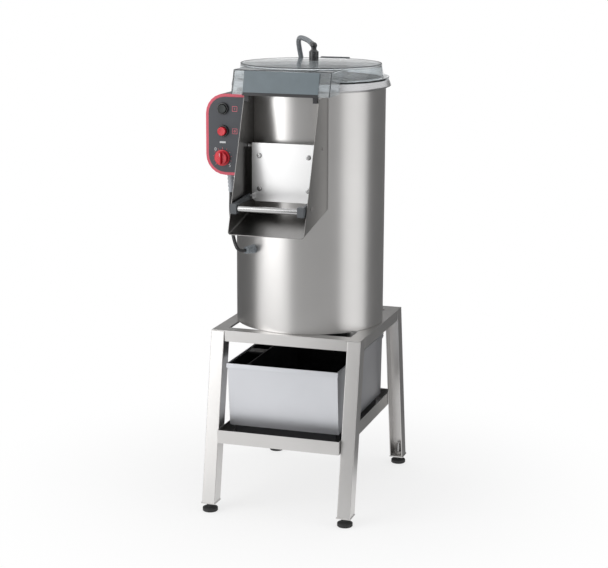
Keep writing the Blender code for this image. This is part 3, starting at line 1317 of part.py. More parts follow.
def build_inlet():
    """The inlet pipe down the drum's back, its clips and its screw collar."""
    pipe = cylinder(
        "inlet_pipe", INLET_RADIUS, (INLET_X, INLET_Y, INLET_BASE), (INLET_X, INLET_Y, INLET_TOP))
    join(pipe, cylinder(
        "collar", INLET_COLLAR_RADIUS, (INLET_X, INLET_Y, INLET_BASE - GAP),
        (INLET_X, INLET_Y, INLET_BASE + INLET_COLLAR), HEX_SIDES))
    reach = hypot(INLET_X, INLET_Y)
    toward = Vector((-INLET_X / reach, -INLET_Y / reach, 0))
    clips = reach - DRUM_RADIUS
    for number, height in enumerate((INLET_BASE + CLIP_ABOVE_BASE, INLET_TOP - CLIP_BELOW_TOP)):
        centre = Vector((INLET_X, INLET_Y, height))
        clip = cylinder(
            f"clip_{number}", CLIP_HEIGHT / 2, centre, centre + toward * (clips + OVERRUN), PIN_SIDES)
        cut(clip, drum_cylinder(
            f"clip_drum_{number}", DRUM_RADIUS + GAP, height - CLIP_HEIGHT, height + CLIP_HEIGHT))
        join(pipe, clip)
    finish(pipe, STEEL)


# Controls


def control_outline(inset, right):
    """The box's outline with its two large corners at the left."""
    corner = CONTROL_CORNER - inset
    return rounded(
        (-CONTROL_LEFT + inset, CONTROL_BASE + inset), (-right, CONTROL_TOP - inset),
        (corner, 0, 0, corner))


def build_control_box():
    """The casing, its red-edged fascia and the slate face."""
    front = -CONTROL_FRONT + FASCIA_SHEET + GAP
    casing = outline("control_box", [control_outline(0, CONTROL_RIGHT)], front, -CONTROL_REAR, "Y")
    cut(casing, outline(
        "casing_inside", [control_outline(CONTROL_WALL, CONTROL_RIGHT + CONTROL_WALL)],
        front - OVERRUN, -CONTROL_REAR - CONTROL_WALL, "Y"))
    cut(casing, drum_cylinder(
        "casing_drum", DRUM_RADIUS + GAP, CONTROL_BASE - OVERRUN, CONTROL_TOP + OVERRUN))
    finish(casing, DARK_GREY)
    fascia = outline(
        "control_fascia", [control_outline(0, CONTROL_RIGHT)],
        -CONTROL_FRONT, -CONTROL_FRONT + FASCIA_SHEET, "Y")
    finish(bore_controls(fascia, "fascia"), BORDER_RED)
    face = outline(
        "control_face", [control_outline(FACE_BORDER, CONTROL_RIGHT)],
        -CONTROL_FRONT - GAP - FACE_SHEET, -CONTROL_FRONT - GAP, "Y")
    finish(bore_controls(face, "face"), FACE_GREY)


def bore_controls(plate, name):
    """Holes in a plate for the two button stems and the knob's shaft."""
    for number, (x, z) in enumerate(control_places()):
        cut(plate, cylinder(
            f"{name}_hole_{number}", STEM_RADIUS + RUNNING, (x, -CONTROL_FRONT - OVERRUN, z),
            (x, -CONTROL_FRONT + FASCIA_SHEET + OVERRUN, z)))
    return plate


def control_places():
    """The start button, the stop button and the timer knob."""
    return [(BUTTON_X, START_Z), (BUTTON_X, STOP_Z), (KNOB_X, KNOB_Z)]


def control_surface():
    """The face that the bezels and the knob sit on."""
    return -CONTROL_FRONT - GAP - FACE_SHEET


def stem_end():
    """How far back the stems of the buttons and of the knob reach."""
    return -CONTROL_FRONT + FASCIA_SHEET + GAP + STEM_END


def build_button(name, place, proud, surface, press):
    """A cap inside its bezel with a stem through the panel."""
    x, z = place
    face = control_surface()
    cap_front = face - GAP - BEZEL_HEIGHT - proud
    cap_rear = face - GAP - BUTTON_TRAVEL - GAP
    cap = cylinder(name, BUTTON_RADIUS, (x, cap_rear, z), (x, cap_front, z), ROUND_SIDES)
    join(cap, cylinder(name + "_stem", STEM_RADIUS, (x, cap_rear - GAP, z), (x, stem_end(), z)))
    finish(cap, surface, press)


def build_bezels():
    """The rings round the two buttons."""
    base = control_surface() - GAP
    for name, (x, z) in zip(("start_bezel", "stop_bezel"), control_places()):
        bezel = cylinder(
            name, BEZEL_RADIUS, (x, base, z), (x, base - BEZEL_HEIGHT, z), ROUND_SIDES,
            BEZEL_RADIUS - BEZEL_EDGE)
        cut(bezel, cylinder(
            name + "_bore", BEZEL_BORE, (x, base + OVERRUN, z), (x, base - BEZEL_HEIGHT - OVERRUN, z),
            ROUND_SIDES))
        finish(bezel, BLACK)


def build_knob(turn):
    """The timer knob: a skirt, a disc and a grip bar, on a shaft through the panel."""
    base = control_surface() - GAP
    rim = base - KNOB_SKIRT
    front = base - KNOB_HEIGHT
    knob = cylinder(
        "timer_knob", KNOB_SKIRT_RADIUS, (KNOB_X, base, KNOB_Z), (KNOB_X, rim, KNOB_Z), ROUND_SIDES)
    join(knob, cylinder(
        "knob_disc", KNOB_RADIUS, (KNOB_X, rim + GAP, KNOB_Z), (KNOB_X, front, KNOB_Z), ROUND_SIDES,
        KNOB_RADIUS * KNOB_TOP_SHARE))
    long = KNOB_RADIUS * GRIP_LENGTH_SHARE
    join(knob, box(
        "grip", (KNOB_X - GRIP_WIDTH / 2, front - GRIP_HEIGHT, KNOB_Z - long),
        (KNOB_X + GRIP_WIDTH / 2, front + GAP, KNOB_Z + long)))
    join(knob, cylinder(
        "knob_shaft", STEM_RADIUS, (KNOB_X, base - GAP, KNOB_Z), (KNOB_X, stem_end(), KNOB_Z)))
    finish(knob, RED, turn)


def build_switches():
    """The contact block of the two buttons and the timer's body, behind the panel."""
    front = -CONTROL_FRONT + FASCIA_SHEET + GAP
    rear = front + SWITCH_DEPTH
    start, stop, knob = control_places()
    contacts = box(
        "contact_block", (stop[0] - SWITCH_HALF, front, stop[1] - SWITCH_HALF),
        (start[0] + SWITCH_HALF, rear, start[1] + SWITCH_HALF))
    timer = box(
        "timer_unit", (knob[0] - SWITCH_HALF, front, knob[1] - SWITCH_HALF),
        (knob[0] + SWITCH_HALF, rear, knob[1] + SWITCH_HALF))
    for block, (x, z) in ((contacts, start), (contacts, stop), (timer, knob)):
        cut(block, cylinder(
            "block_bore", STEM_RADIUS + RUNNING, (x, front - OVERRUN, z),
            (x, front + STEM_END + BUTTON_TRAVEL + GAP, z)))
    finish(contacts, BLACK)
    finish(timer, BLACK)


# Cable


def drum_gland_line():
    """The foot and the tip of the gland on the drum, square to its wall."""
    way = Vector((DRUM_GLAND_X, -sqrt(DRUM_RADIUS ** 2 - DRUM_GLAND_X ** 2), 0)).normalized()
    foot = way * (DRUM_RADIUS + GAP)
    foot.z = DRUM_GLAND_Z
    return foot, foot + way * DRUM_GLAND_LENGTH


def build_glands():
    """The gland under the control box and the ribbed one on the drum."""
    top = CONTROL_BASE - GAP
    tip = top - BOX_GLAND_LENGTH
    finish(cylinder(
        "box_gland", BOX_GLAND_TIP_RADIUS, (BOX_GLAND_X, BOX_GLAND_Y, tip), (BOX_GLAND_X, BOX_GLAND_Y, top),
        SMALL_SIDES, BOX_GLAND_RADIUS), LIGHT_GREY)
    foot, end = drum_gland_line()
    profile = [(0, DRUM_GLAND_LENGTH)]
    pitch = DRUM_GLAND_LENGTH / GLAND_RIBS
    for rib in range(GLAND_RIBS):
        high = DRUM_GLAND_LENGTH - rib * pitch
        radius = DRUM_GLAND_RADIUS - GLAND_TAPER * (GLAND_RIBS - 1 - rib)
        profile.append((radius - GLAND_RIB_DEPTH, high))
        profile += [(radius, high - pitch * share) for share in GLAND_RIB_SHARES]
        profile.append((radius - GLAND_RIB_DEPTH, high - pitch + GLAND_TAPER))
    profile += [(DRUM_GLAND_RADIUS, 0), (0, 0)]
    gland = turned("drum_gland", profile, SMALL_SIDES, foot)
    gland.rotation_euler = (end - foot).to_track_quat("Z", "Y").to_euler()
    finish(gland, LIGHT_GREY)


def build_cable():
    """The control cable from the box's gland to the drum's."""
    foot, end = drum_gland_line()
    way = (end - foot).normalized()
    top = (BOX_GLAND_X, BOX_GLAND_Y, CONTROL_BASE - 2 * GAP - BOX_GLAND_LENGTH)
    straight = [end + way * (GAP + steps * CABLE_RADIUS) for steps in (2, 1, 0)]
    route = [top] + CABLE_ROUTE + straight
    finish(tube("control_cable", smooth_route(route, ROUTE_STEPS), CABLE_RADIUS), BLACK)


def build_stand():
    """Legs, levelling feet, top frame, tray and runners."""
    sides = {"left": -1, "right": 1}
    for word, side in sides.items():
        for end, front in (("front", True), ("rear", False)):
            build_leg(f"leg_{end}_{word}", side, front)
            build_foot(f"foot_{end}_{word}", side, front)
    build_top_frame()
    build_tray()
    build_runners()


def build_machine():
    """The whole peeler, from the stand up."""
    build_stand()
    build_filter_box(pivot("filter_box_slide", (0, 0, BOX_BASE), ROOT))
    build_drum()
    build_plate(pivot("plate_spin", (0, 0, PLATE_BASE), ROOT))
    build_bearings()
    build_motor(pivot("motor_spin", (0, MOTOR_Y, PULLEY_BASE), ROOT))
    build_drain()
    build_chute()
    build_neck()
    door = pivot("door_hinge", (0, HINGE_Y, HINGE_HEIGHT), ROOT)
    build_door(door)
    build_handle(pivot("handle_lever", (0, PIVOT_Y, PIVOT_Z), door))
    build_rod()
    lid = pivot("lid_hinge", (0, LID_HINGE_Y, LID_HINGE_Z), ROOT)
    build_lid(lid)
    build_lid_hinge(lid)
    build_elbow(lid)
    build_hose()
    build_inlet()
    build_control_box()
    build_bezels()
    places = control_places()
    face = control_surface()
    start = pivot("start_press", (places[0][0], face, places[0][1]), ROOT)
    stop = pivot("stop_press", (places[1][0], face, places[1][1]), ROOT)
    build_button("start_button", places[0], BUTTON_PROUD, GREEN_BLACK, start)
    build_button("stop_button", places[1], STOP_PROUD, RED, stop)
    build_knob(pivot("knob_turn", (places[2][0], face, places[2][1]), ROOT))
    build_switches()
    build_glands()
    build_cable()


build_machine()
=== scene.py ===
"""The looks of a potato peeler on its stand: rounded sheet metal, clear lid, controls and studio.

Metres, +Z up, the chute faces -Y. The frame gives every place. The new pieces are drawn around it,
each stands for one of its nodes, and rides on the same body.
"""
import json
from contextlib import contextmanager
from math import cos, hypot, pi, radians, sin, sqrt
from typing import NamedTuple

import bpy
from mathutils import Matrix, Vector


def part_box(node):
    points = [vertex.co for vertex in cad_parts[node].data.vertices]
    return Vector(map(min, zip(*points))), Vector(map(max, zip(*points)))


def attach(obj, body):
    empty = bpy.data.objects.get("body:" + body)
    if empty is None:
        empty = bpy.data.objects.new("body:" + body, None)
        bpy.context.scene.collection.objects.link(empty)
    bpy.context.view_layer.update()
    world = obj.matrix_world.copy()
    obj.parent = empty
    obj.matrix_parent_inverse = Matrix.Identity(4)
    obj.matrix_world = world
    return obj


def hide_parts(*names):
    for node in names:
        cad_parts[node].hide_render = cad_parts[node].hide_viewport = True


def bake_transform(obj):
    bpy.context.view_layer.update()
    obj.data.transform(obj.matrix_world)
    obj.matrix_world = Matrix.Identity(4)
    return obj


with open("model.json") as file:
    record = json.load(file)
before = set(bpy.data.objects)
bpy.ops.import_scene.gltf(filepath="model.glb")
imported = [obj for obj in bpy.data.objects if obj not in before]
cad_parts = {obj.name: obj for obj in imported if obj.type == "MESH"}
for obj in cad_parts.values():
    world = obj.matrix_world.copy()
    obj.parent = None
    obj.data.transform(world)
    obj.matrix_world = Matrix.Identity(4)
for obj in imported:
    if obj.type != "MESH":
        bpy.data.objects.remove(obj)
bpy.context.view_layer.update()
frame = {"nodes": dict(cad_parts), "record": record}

bl_info = {
    "name": "Potato peeler looks",
    "version": (1, 0, 0),
    "blender": (4, 5, 0),
    "location": "3D View > Sidebar > Peeler",
    "description": "Models the visible pieces and finishes of a potato peeler around its frame",
    "category": "Object",
}

BODY_OF = {
    node: body for body, nodes in frame["record"]["behaviour"]["bodies"].items() for node in nodes}
MERGE = 0.00001
FIT = 0.0003
DRUM_STEPS = 192
LARGE_STEPS = 96
ROUND_STEPS = 48
SMALL_STEPS = 24
SMOOTH_ANGLE = radians(38)
FLAT_ANGLE = radians(0.4)


# What a user would change


def length(name, description, default, least=0.0):
    """A length in metres."""
    return bpy.props.FloatProperty(
        name=name, description=description, default=default, min=least, unit="LENGTH", precision=5)


def colour(name, description, default):
    """A linear colour."""
    return bpy.props.FloatVectorProperty(
        name=name, description=description, default=default, size=3, min=0.0, max=1.0, subtype="COLOR")


def number(name, description, default, least=0.0):
    """A plain number."""
    return bpy.props.FloatProperty(name=name, description=description, default=default, min=least)


def angle(name, description, default):
    """An angle, given in degrees and kept in radians."""
    return bpy.props.FloatProperty(
        name=name, description=description, default=radians(default), subtype="ANGLE")


class PeelerColours(bpy.types.PropertyGroup):
    """Colours of the peeler's surfaces."""

    steel: colour("Satin steel", "Drum and stand", (0.62, 0.61, 0.60))
    bright: colour("Bright steel", "Studs, pins, shaft and hinge rod", (0.78, 0.78, 0.78))
    rim: colour("Rim steel", "Drum's rim", (0.55, 0.55, 0.56))
    bar: colour("Bar steel", "Handle bar and door screws", (0.48, 0.48, 0.48))
    door: colour("Door steel", "Door plate", (0.87, 0.87, 0.87))
    box: colour("Box steel", "Filter box", (0.66, 0.67, 0.70))
    black: colour("Black plastic", "Basket, runners, bezels, elbow and cable", (0.018, 0.018, 0.020))
    rubber: colour("Rubber", "Feet, seals and belt", (0.022, 0.022, 0.022))
    dark: colour("Dark grey plastic", "Handle arms, hinge and control casing", (0.075, 0.082, 0.090))
    slate: colour("Slate plastic", "Panel on the lid's front", (0.125, 0.155, 0.172))
    chute: colour("Chute steel", "Chute, a darker mill finish", (0.235, 0.23, 0.225))
    face: colour("Control face", "Plate behind the buttons", (0.046, 0.050, 0.059))
    pale: colour("Gland plastic", "Gland on the drum", (0.20, 0.225, 0.245))
    grey: colour("Light grey plastic", "Gland under the control box", (0.34, 0.36, 0.39))
    pale_print: colour("Pale print", "Pale marks on the control panel", (0.55, 0.57, 0.58))
    red: colour("Red plastic", "Stop button and timer knob", (0.56, 0.012, 0.026))
    border: colour("Red border", "Edge of the control panel", (0.58, 0.075, 0.115))
    start: colour("Start cap", "Start button", (0.006, 0.010, 0.010))
    marks: colour("Marks", "Red squares and scale on the control panel", (0.72, 0.13, 0.17))
    clear: colour("Clear plastic", "Lid", (0.78, 0.82, 0.84))
    # This dark colour is painted shade, drawn as a ring and lines along the lid's and hood's clear edges.
    bead: colour("Smoked plastic", "Bead round the lid's top and seams of the hood", (0.035, 0.040, 0.045))
    grit: colour("Abrasive", "Liner and plate", (0.045, 0.044, 0.043))
    cast: colour("Cast aluminium", "Pulleys and bearing housing", (0.55, 0.56, 0.57))
    motor: colour("Motor paint", "Motor", (0.20, 0.22, 0.24))
    hose: colour("Hose", "Water hose", (0.17, 0.185, 0.20))


class PeelerSizes(bpy.types.PropertyGroup):
    """Edge roundings and small details."""

    sheet_edge: length("Sheet edge", "Rounding of a sheet's cut edge", 0.0004)
    fold: length("Fold", "Outer radius of a folded sheet", 0.0018)
    moulded_edge: length("Moulded edge", "Rounding of a plastic edge", 0.0010)
    rim_edge: length("Rim rounding", "Rounding of the drum's rim", 0.0035)
    thread_pitch: length("Thread pitch", "Pitch of the levelling studs", 0.0015, 0.0005)
    thread_depth: length("Thread depth", "Depth of the levelling studs' thread", 0.0006)
    screw_socket: length("Screw socket", "Half width of the socket in a screw's head", 0.0018)
    motor_fin: length("Motor fin", "Height of the motor's cooling fins", 0.0030)
    lid_wall: length("Lid wall", "Thickness of the clear lid", 0.0030)
    lid_round: length("Lid rounding", "Rounding of the lid's top edge", 0.0060)
    lid_crown: length("Lid crown", "Height of the lid's middle above its edge", 0.0025)
    lid_flange: length("Lid flange", "Thickness of the flange on the gasket", 0.0022)
    lid_inset: length("Lid inset", "From the flange's edge to the dome's side", 0.0180)
    gasket_inset: length("Gasket inset", "From the flange's edge to the gasket's outside", 0.0080)
    # The lid's bead is a ring of painted shade along the dome's clear top edge.
    lid_bead: length("Lid bead", "Radius of the bead round the lid's top", 0.0012)
    # The hood's seams are lines of painted shade along its clear edges.
    seam: length("Seam", "Radius of the glued seams on the hood", 0.0010)
    # The dark strip is painted shade on the panel's folded foot.
    panel_shade_strip: length("Panel fold", "Height of the dark strip along the panel's foot", 0.0055)
    plate_sheet: length("Plate sheet", "Thickness of the door plate", 0.0030)
    plate_corner: length("Plate corner", "Rounding of the door plate's lower corners", 0.0120)
    screw_margin: length("Screw margin", "From the door plate's top and foot to its screws", 0.0310)
    screw_inset: length("Screw inset", "From the door plate's side to its screws", 0.0195)
    screw_radius: length("Screw radius", "Radius of a screw's head", 0.0066)
    screw_height: length("Screw height", "Height of a screw's head", 0.0028)
    rod_radius: length("Rod radius", "Radius of the door's hinge rod", 0.0030)
    knuckle_inset: length("Knuckle inset", "From the door plate's side to its knuckles", 0.0045)
    knuckle_length: length("Knuckle length", "Length of a knuckle", 0.0260)
    ear_inset: length("Ear inset", "From the door plate's side to the ears' inner face", 0.0080)
    ear_sheet: length("Ear sheet", "Thickness of an ear", 0.0040)
    ear_half: length("Ear half", "Half the height of an ear", 0.0065)
    ear_drop: length("Ear drop", "Height of the ears' pins from the door plate's middle", -0.0580, -1.0)
    weld: length("Weld", "Radius of the weld beads along the chute", 0.0009)
    weld_step: length("Weld step", "Length of a ripple in a weld", 0.0024, 0.0005)
    band: length("Band", "Height of the bands round the filter box's rim", 0.0014)
    band_proud: length("Band relief", "How far the bands stand out", 0.0005)
    stem: length("Stem", "Radius of the stems behind buttons and knob", 0.0040)
    cap_radius: length("Cap radius", "Radius of a button's cap", 0.0105)
    travel: length("Button travel", "How far a button goes in", 0.0030)
    knob_skirt: length("Knob skirt", "Thickness of the knob's skirt", 0.0040)
    knob_radius: length("Knob radius", "Radius of the knob's disc", 0.0165)
    knob_height: length("Knob height", "Height of the knob's disc with its skirt", 0.0130)
    grip_width: length("Grip width", "Width of the bar across the knob", 0.0060)
    mark: length("Mark", "Width of a line printed on the control panel", 0.0009)
    icon: length("Icon", "Width of the outlined squares beside the buttons", 0.0122)
    digit: length("Digit", "Size of the numbers round the knob", 0.0115)
    lid_taper: length("Lid taper", "How far the dome's wall widens towards its foot", 0.0040)
    rim_space: length("Rim space", "Clearance of the hood round the drum's rim", 0.0012)
    elbow_body: length("Elbow body", "Height of the elbow's thick body", 0.0240)
    ball_rise: length("Ball rise", "Height of the elbow's ball above the elbow's foot", 0.0382)
    ball_radius: length("Ball radius", "Radius of the ball on the water elbow", 0.0085)
    spout_length: length("Spout length", "From the ball's middle to the spout's end", 0.0160)
    hose_radius: length("Hose radius", "Radius of the water hose", 0.0065)
    cable_radius: length("Cable radius", "Radius of the control cable", 0.0045)


class PeelerStage(bpy.types.PropertyGroup):
    """Camera and studio light."""

    azimuth: angle("Azimuth", "Camera's turn from the front to the right", 17.5528)
    elevation: angle("Elevation", "Camera's height angle", 12.1963)
    roll: angle("Roll", "Camera's roll", 0.3041)
    distance: length("Distance", "From the camera to the point it looks at", 4.2051)
    aim_height: length("Aim height", "Height of the point that the camera looks at", 0.5485)
    lens: number("Lens", "Focal length in millimetres on a 36 mm sensor", 95.578)
    shift: number("Shift", "Sideways shift as a share of the frame's width", -0.01003, -1.0)
    key: number("Key light", "Radiance of the softbox at the front left", 1.7)
    side: number("Side light", "Radiance of the softbox at the right", 0.9)
    top: number("Top light", "Radiance of the softbox overhead", 1.0)
    ambient: number("Ambient", "Strength of the surroundings on matt surfaces", 0.62)


def colours():
    """The user's colours."""
    return bpy.context.scene.peeler_colours


def sizes():
    """The user's sizes."""
    return bpy.context.scene.peeler_sizes


# Modelling


def clear_selection():
    """Deselect everything."""
    bpy.ops.object.select_all(action="DESELECT")


def take(thing):
    """Make one object the selected and active one."""
    clear_selection()
    thing.select_set(True)
    bpy.context.view_layer.objects.active = thing
    return thing


@contextmanager
def editing(thing):
    """Work on an object in edit mode."""
    take(thing)
    bpy.ops.object.mode_set(mode="EDIT")
    yield thing
    bpy.ops.object.mode_set(mode="OBJECT")


def settle(thing):
    """Apply an object's place, turn and size to its mesh."""
    take(thing)
    bpy.ops.object.transform_apply(location=True, rotation=True, scale=True)
    return thing


def named(name):
    """Name the object that was just added and settle it."""
    thing = bpy.context.object
    thing.name = name
    thing.data.name = name
    return settle(thing)


class Extent(NamedTuple):
    """A node's lowest and highest corners, its middle and its size."""

    low: Vector
    high: Vector
    middle: Vector
    size: Vector


def extent(node):
    """Where a node lies and how large it is."""
    low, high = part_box(node)
    return Extent(low, high, (low + high) / 2, high - low)


def points_of(node):
    """A node's points."""
    return [point.co for point in frame["nodes"][node].data.vertices]


def nodes_named(start):
    """The nodes whose names have the same start."""
    return [node for node in frame["nodes"] if node.startswith(start)]


def reach(node, centre):
    """The least distance of a node's points from a vertical line."""
    return min(hypot(point.x - centre.x, point.y - centre.y) for point in points_of(node))


def rings(node):
    """A turned node's points as radii and heights."""
    return [(hypot(point.x - AXIS.x, point.y - AXIS.y), point.z) for point in points_of(node)]


def side_edges(node, height):
    """The least and greatest X of a node's points at a height."""
    places = [point.x for point in points_of(node) if abs(point.z - height) < FIT]
    return min(places), max(places)


def block(name, low, high):
    """A block between two corners."""
    low = Vector(low)
    high = Vector(high)
    clear_selection()
    bpy.ops.mesh.primitive_cube_add(size=1, location=(low + high) / 2, scale=high - low)
    return named(name)


def bar(name, radius, start, end, steps=ROUND_STEPS, end_radius=None):
    """A round bar, or a cone, between two points."""
    start = Vector(start)
    end = Vector(end)
    clear_selection()
    bpy.ops.mesh.primitive_cone_add(
        vertices=steps, radius1=radius, radius2=radius if end_radius is None else end_radius,
        depth=(end - start).length, location=(start + end) / 2,
        rotation=(end - start).to_track_quat("Z", "Y").to_euler())
    return named(name)


def drawn(name, points):
    """A line drawn from point to point."""
    points = [Vector(point) for point in points]
    clear_selection()
    bpy.ops.mesh.primitive_plane_add(size=1)
    with editing(named(name)) as thing:
        bpy.ops.mesh.merge(type="CENTER")
        bpy.ops.transform.translate(value=points[0])
        for here, there in zip(points, points[1:]):
            bpy.ops.mesh.extrude_region_move(TRANSFORM_OT_translate={"value": there - here})
    return thing


def pressed(name, points, travel):
    """A flat outline, filled and pulled out to a solid."""
    with editing(drawn(name, points)) as thing:
        bpy.ops.mesh.select_all(action="SELECT")
        bpy.ops.mesh.edge_face_add()
        bpy.ops.mesh.extrude_region_move(TRANSFORM_OT_translate={"value": travel})
        tidy_faces()
    return thing


def tidy_faces():
    """Merge doubles and turn every face outwards, in edit mode."""
    bpy.ops.mesh.select_all(action="SELECT")
    bpy.ops.mesh.remove_doubles(threshold=MERGE)
    bpy.ops.mesh.normals_make_consistent(inside=False)


def lathe(name, profile, centre, steps=DRUM_STEPS):
    """A profile of radii and heights turned about the vertical line through a centre."""
    if profile[0][0] > 0 or profile[-1][0] > 0:
        profile = list(profile) + [profile[0]]
    line = [(centre.x + radius, centre.y, height) for radius, height in profile]
    with editing(drawn(name, line)) as thing:
        bpy.ops.mesh.select_all(action="SELECT")
        bpy.ops.mesh.spin(steps=steps, angle=2 * pi, center=(centre.x, centre.y, 0), axis=(0, 0, 1))
        tidy_faces()
    return thing


def turned(name, profile, foot, tip, steps=ROUND_STEPS):
    """A profile of radii and distances turned about the line from a foot towards a tip."""
    thing = lathe(name, profile, Vector((0, 0, 0)), steps)
    way = Vector(tip) - Vector(foot)
    thing.matrix_world = Matrix.Translation(foot) @ way.to_track_quat("Z", "Y").to_matrix().to_4x4()
    return settle(thing)


def chamfered_ring(inner, outer, low, high, edge):
    """The profile of an upright ring whose two outer edges are broken."""
    return [
        (inner, high), (outer - edge, high), (outer, high - edge), (outer, low + edge),
        (outer - edge, low), (inner, low)]


def arc(x, y, radius, first, last, steps=8):
    """Points on an arc, with angles in degrees."""
    turns = [radians(first + (last - first) * step / steps) for step in range(steps + 1)]
    return [(x + radius * cos(turn), y + radius * sin(turn)) for turn in turns]


def applied(thing, kind, **settings):
    """Add a modifier and apply it."""
    step = thing.modifiers.new(kind.title(), kind)
    for key, value in settings.items():
        setattr(step, key, value)
    take(thing)
    bpy.ops.object.modifier_apply(modifier=step.name)
    return thing


def cut(thing, tool, operation="DIFFERENCE"):
    """Cut, join or intersect with another shape, which is used up."""
    applied(thing, "BOOLEAN", operation=operation, solver="EXACT", object=tool)
    bpy.data.objects.remove(tool, do_unlink=True)
    return thing


def join(thing, tool):
    """Weld another shape onto a piece."""
    return cut(thing, tool, "UNION")


def together(name, things):
    """Several closed shapes as one object."""
    clear_selection()
    for thing in things:
        thing.select_set(True)
    bpy.context.view_layer.objects.active = things[0]
    bpy.ops.object.join()
    things[0].name = name
    return things[0]


def copied(name, node):
    """A node's shape as a merged mesh with whole faces."""
    mesh = frame["nodes"][node].data.copy()
    thing = bpy.data.objects.new(name, mesh)
    bpy.context.scene.collection.objects.link(thing)
    mesh.materials.clear()
    with editing(thing):
        bpy.ops.mesh.select_all(action="SELECT")
        bpy.ops.mesh.remove_doubles(threshold=MERGE)
        bpy.ops.mesh.customdata_custom_splitnormals_clear()
        bpy.ops.mesh.dissolve_limited(angle_limit=FLAT_ANGLE)
    return thing


def round_edges(thing, test, width, segments=4):
    """Bevel the edges that pass a test of their two ends."""
    mesh = thing.data
    bpy.context.tool_settings.mesh_select_mode = (False, True, False)
    for group in (mesh.vertices, mesh.edges, mesh.polygons):
        group.foreach_set("select", [False] * len(group))
    for edge in mesh.edges:
        edge.select = test(*(mesh.vertices[index].co for index in edge.vertices))
    with editing(thing):
        bpy.ops.mesh.bevel(offset=width, segments=segments, affect="EDGES", clamp_overlap=True)
    bpy.context.tool_settings.mesh_select_mode = (True, False, False)
    return thing


def soften(thing, width, segments=2, limit=35):
    """Round every edge sharper than a limit in degrees."""
    return applied(
        thing, "BEVEL", width=width, segments=segments, limit_method="ANGLE", angle_limit=radians(limit),
        use_clamp_overlap=True, harden_normals=False)


def surfaced(thing, finish, smooth=SMOOTH_ANGLE):
    """Give a piece its finish and smooth it, with flat faces kept flat beside their roundings."""
    thing.data.materials.clear()
    thing.data.materials.append(FINISHES[finish])
    take(thing)
    bpy.ops.object.shade_smooth_by_angle(angle=smooth)
    applied(thing, "WEIGHTED_NORMAL", keep_sharp=True)
    return thing


def added(thing, finish, node):
    """A piece that is fixed to a node and stands for none."""
    surfaced(thing, finish)
    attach(thing, BODY_OF[node])
    return thing


def done(thing, finish, *nodes, smooth=SMOOTH_ANGLE):
    """A finished piece that stands for its nodes on their body."""
    surfaced(thing, finish, smooth)
    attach(thing, BODY_OF[nodes[0]])
    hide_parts(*nodes)
    return thing


def dressed(name, node, finish, width, segments=2):
    """A node's own shape with its edges rounded, as a finished piece."""
    return done(soften(copied(name, node), width, segments), finish, node)


# Finishes


EVEN = (1, 1, 1)
NOISE_LOW = 0.3
NOISE_HIGH = 0.7
FINE_SKIN = 900.0
CLOUD_SCALE = 7.0
METAL_TINT = 0.03
BLOTCH_SCALE = 25.0
PLASTIC_TINT = 0.07
PLASTIC_SPREAD = 0.06
GRIT_SCALE = 420.0
GRIT_TINT = 0.6
GRIT_DEPTH = 0.0009
ACRYLIC_IOR = 1.49
CLEARNESS = 0.86
FLOW_DEPTH = 0.00006


def new_material(name):
    """A material and its node tree."""
    made = bpy.data.materials.new(name)
    made.use_nodes = True
    return made, made.node_tree


def shader_node(tree, kind, **values):
    """A shader node with its sockets set. An underscore stands for the space in a socket's name."""
    made = tree.nodes.new(kind)
    for socket, value in values.items():
        made.inputs[socket.replace("_", " ")].default_value = value
    return made


def new_finish(name, base, roughness, metallic):
    """A material, its node tree and its shader."""
    made, tree = new_material(name)
    shader = tree.nodes["Principled BSDF"]
    shader.inputs["Base Color"].default_value = (*base, 1.0)
    shader.inputs["Roughness"].default_value = roughness
    shader.inputs["Metallic"].default_value = metallic
    return made, tree, shader


def grain(tree, stretch, scale, detail=3.0):
    """Noise on the piece's own place, stretched along its brushing."""
    place = tree.nodes.new("ShaderNodeTexCoord")
    mapping = shader_node(tree, "ShaderNodeMapping", Scale=stretch)
    noise = shader_node(tree, "ShaderNodeTexNoise", Scale=scale, Detail=detail)
    tree.links.new(place.outputs["Object"], mapping.inputs["Vector"])
    tree.links.new(mapping.outputs["Vector"], noise.inputs["Vector"])
    return noise.outputs["Fac"]


def vary(tree, source, low, high):
    """A number between two values, led by noise."""
    step = shader_node(
        tree, "ShaderNodeMapRange", From_Min=NOISE_LOW, From_Max=NOISE_HIGH, To_Min=low, To_Max=high)
    tree.links.new(source, step.inputs["Value"])
    return step.outputs["Result"]


def tint(tree, shader, source, base, share):
    """Colour that varies a little about its base."""
    blend = tree.nodes.new("ShaderNodeMix")
    blend.data_type = "RGBA"
    blend.inputs["A"].default_value = (*[part * (1 - share) for part in base], 1.0)
    blend.inputs["B"].default_value = (*[min(part * (1 + share), 1) for part in base], 1.0)
    tree.links.new(vary(tree, source, 0, 1), blend.inputs["Factor"])
    tree.links.new(blend.outputs["Result"], shader.inputs["Base Color"])


def bump(tree, shader, source, depth):
    """Fine relief."""
    relief = shader_node(tree, "ShaderNodeBump", Distance=depth, Strength=1.0)
    tree.links.new(source, relief.inputs["Height"])
    tree.links.new(relief.outputs["Normal"], shader.inputs["Normal"])


def brushed(name, base, roughness, stretch, depth=0.0000015, spread=0.02):
    """Sheet metal with brushing lines, faint clouds and uneven gloss."""
    made, tree, shader = new_finish(name, base, roughness, 1.0)
    lines = grain(tree, stretch, 1.0, 4.0)
    clouds = grain(tree, EVEN, CLOUD_SCALE)
    tint(tree, shader, clouds, base, METAL_TINT)
    tree.links.new(vary(tree, lines, roughness - spread, roughness + spread), shader.inputs["Roughness"])
    bump(tree, shader, lines, depth)
    return made


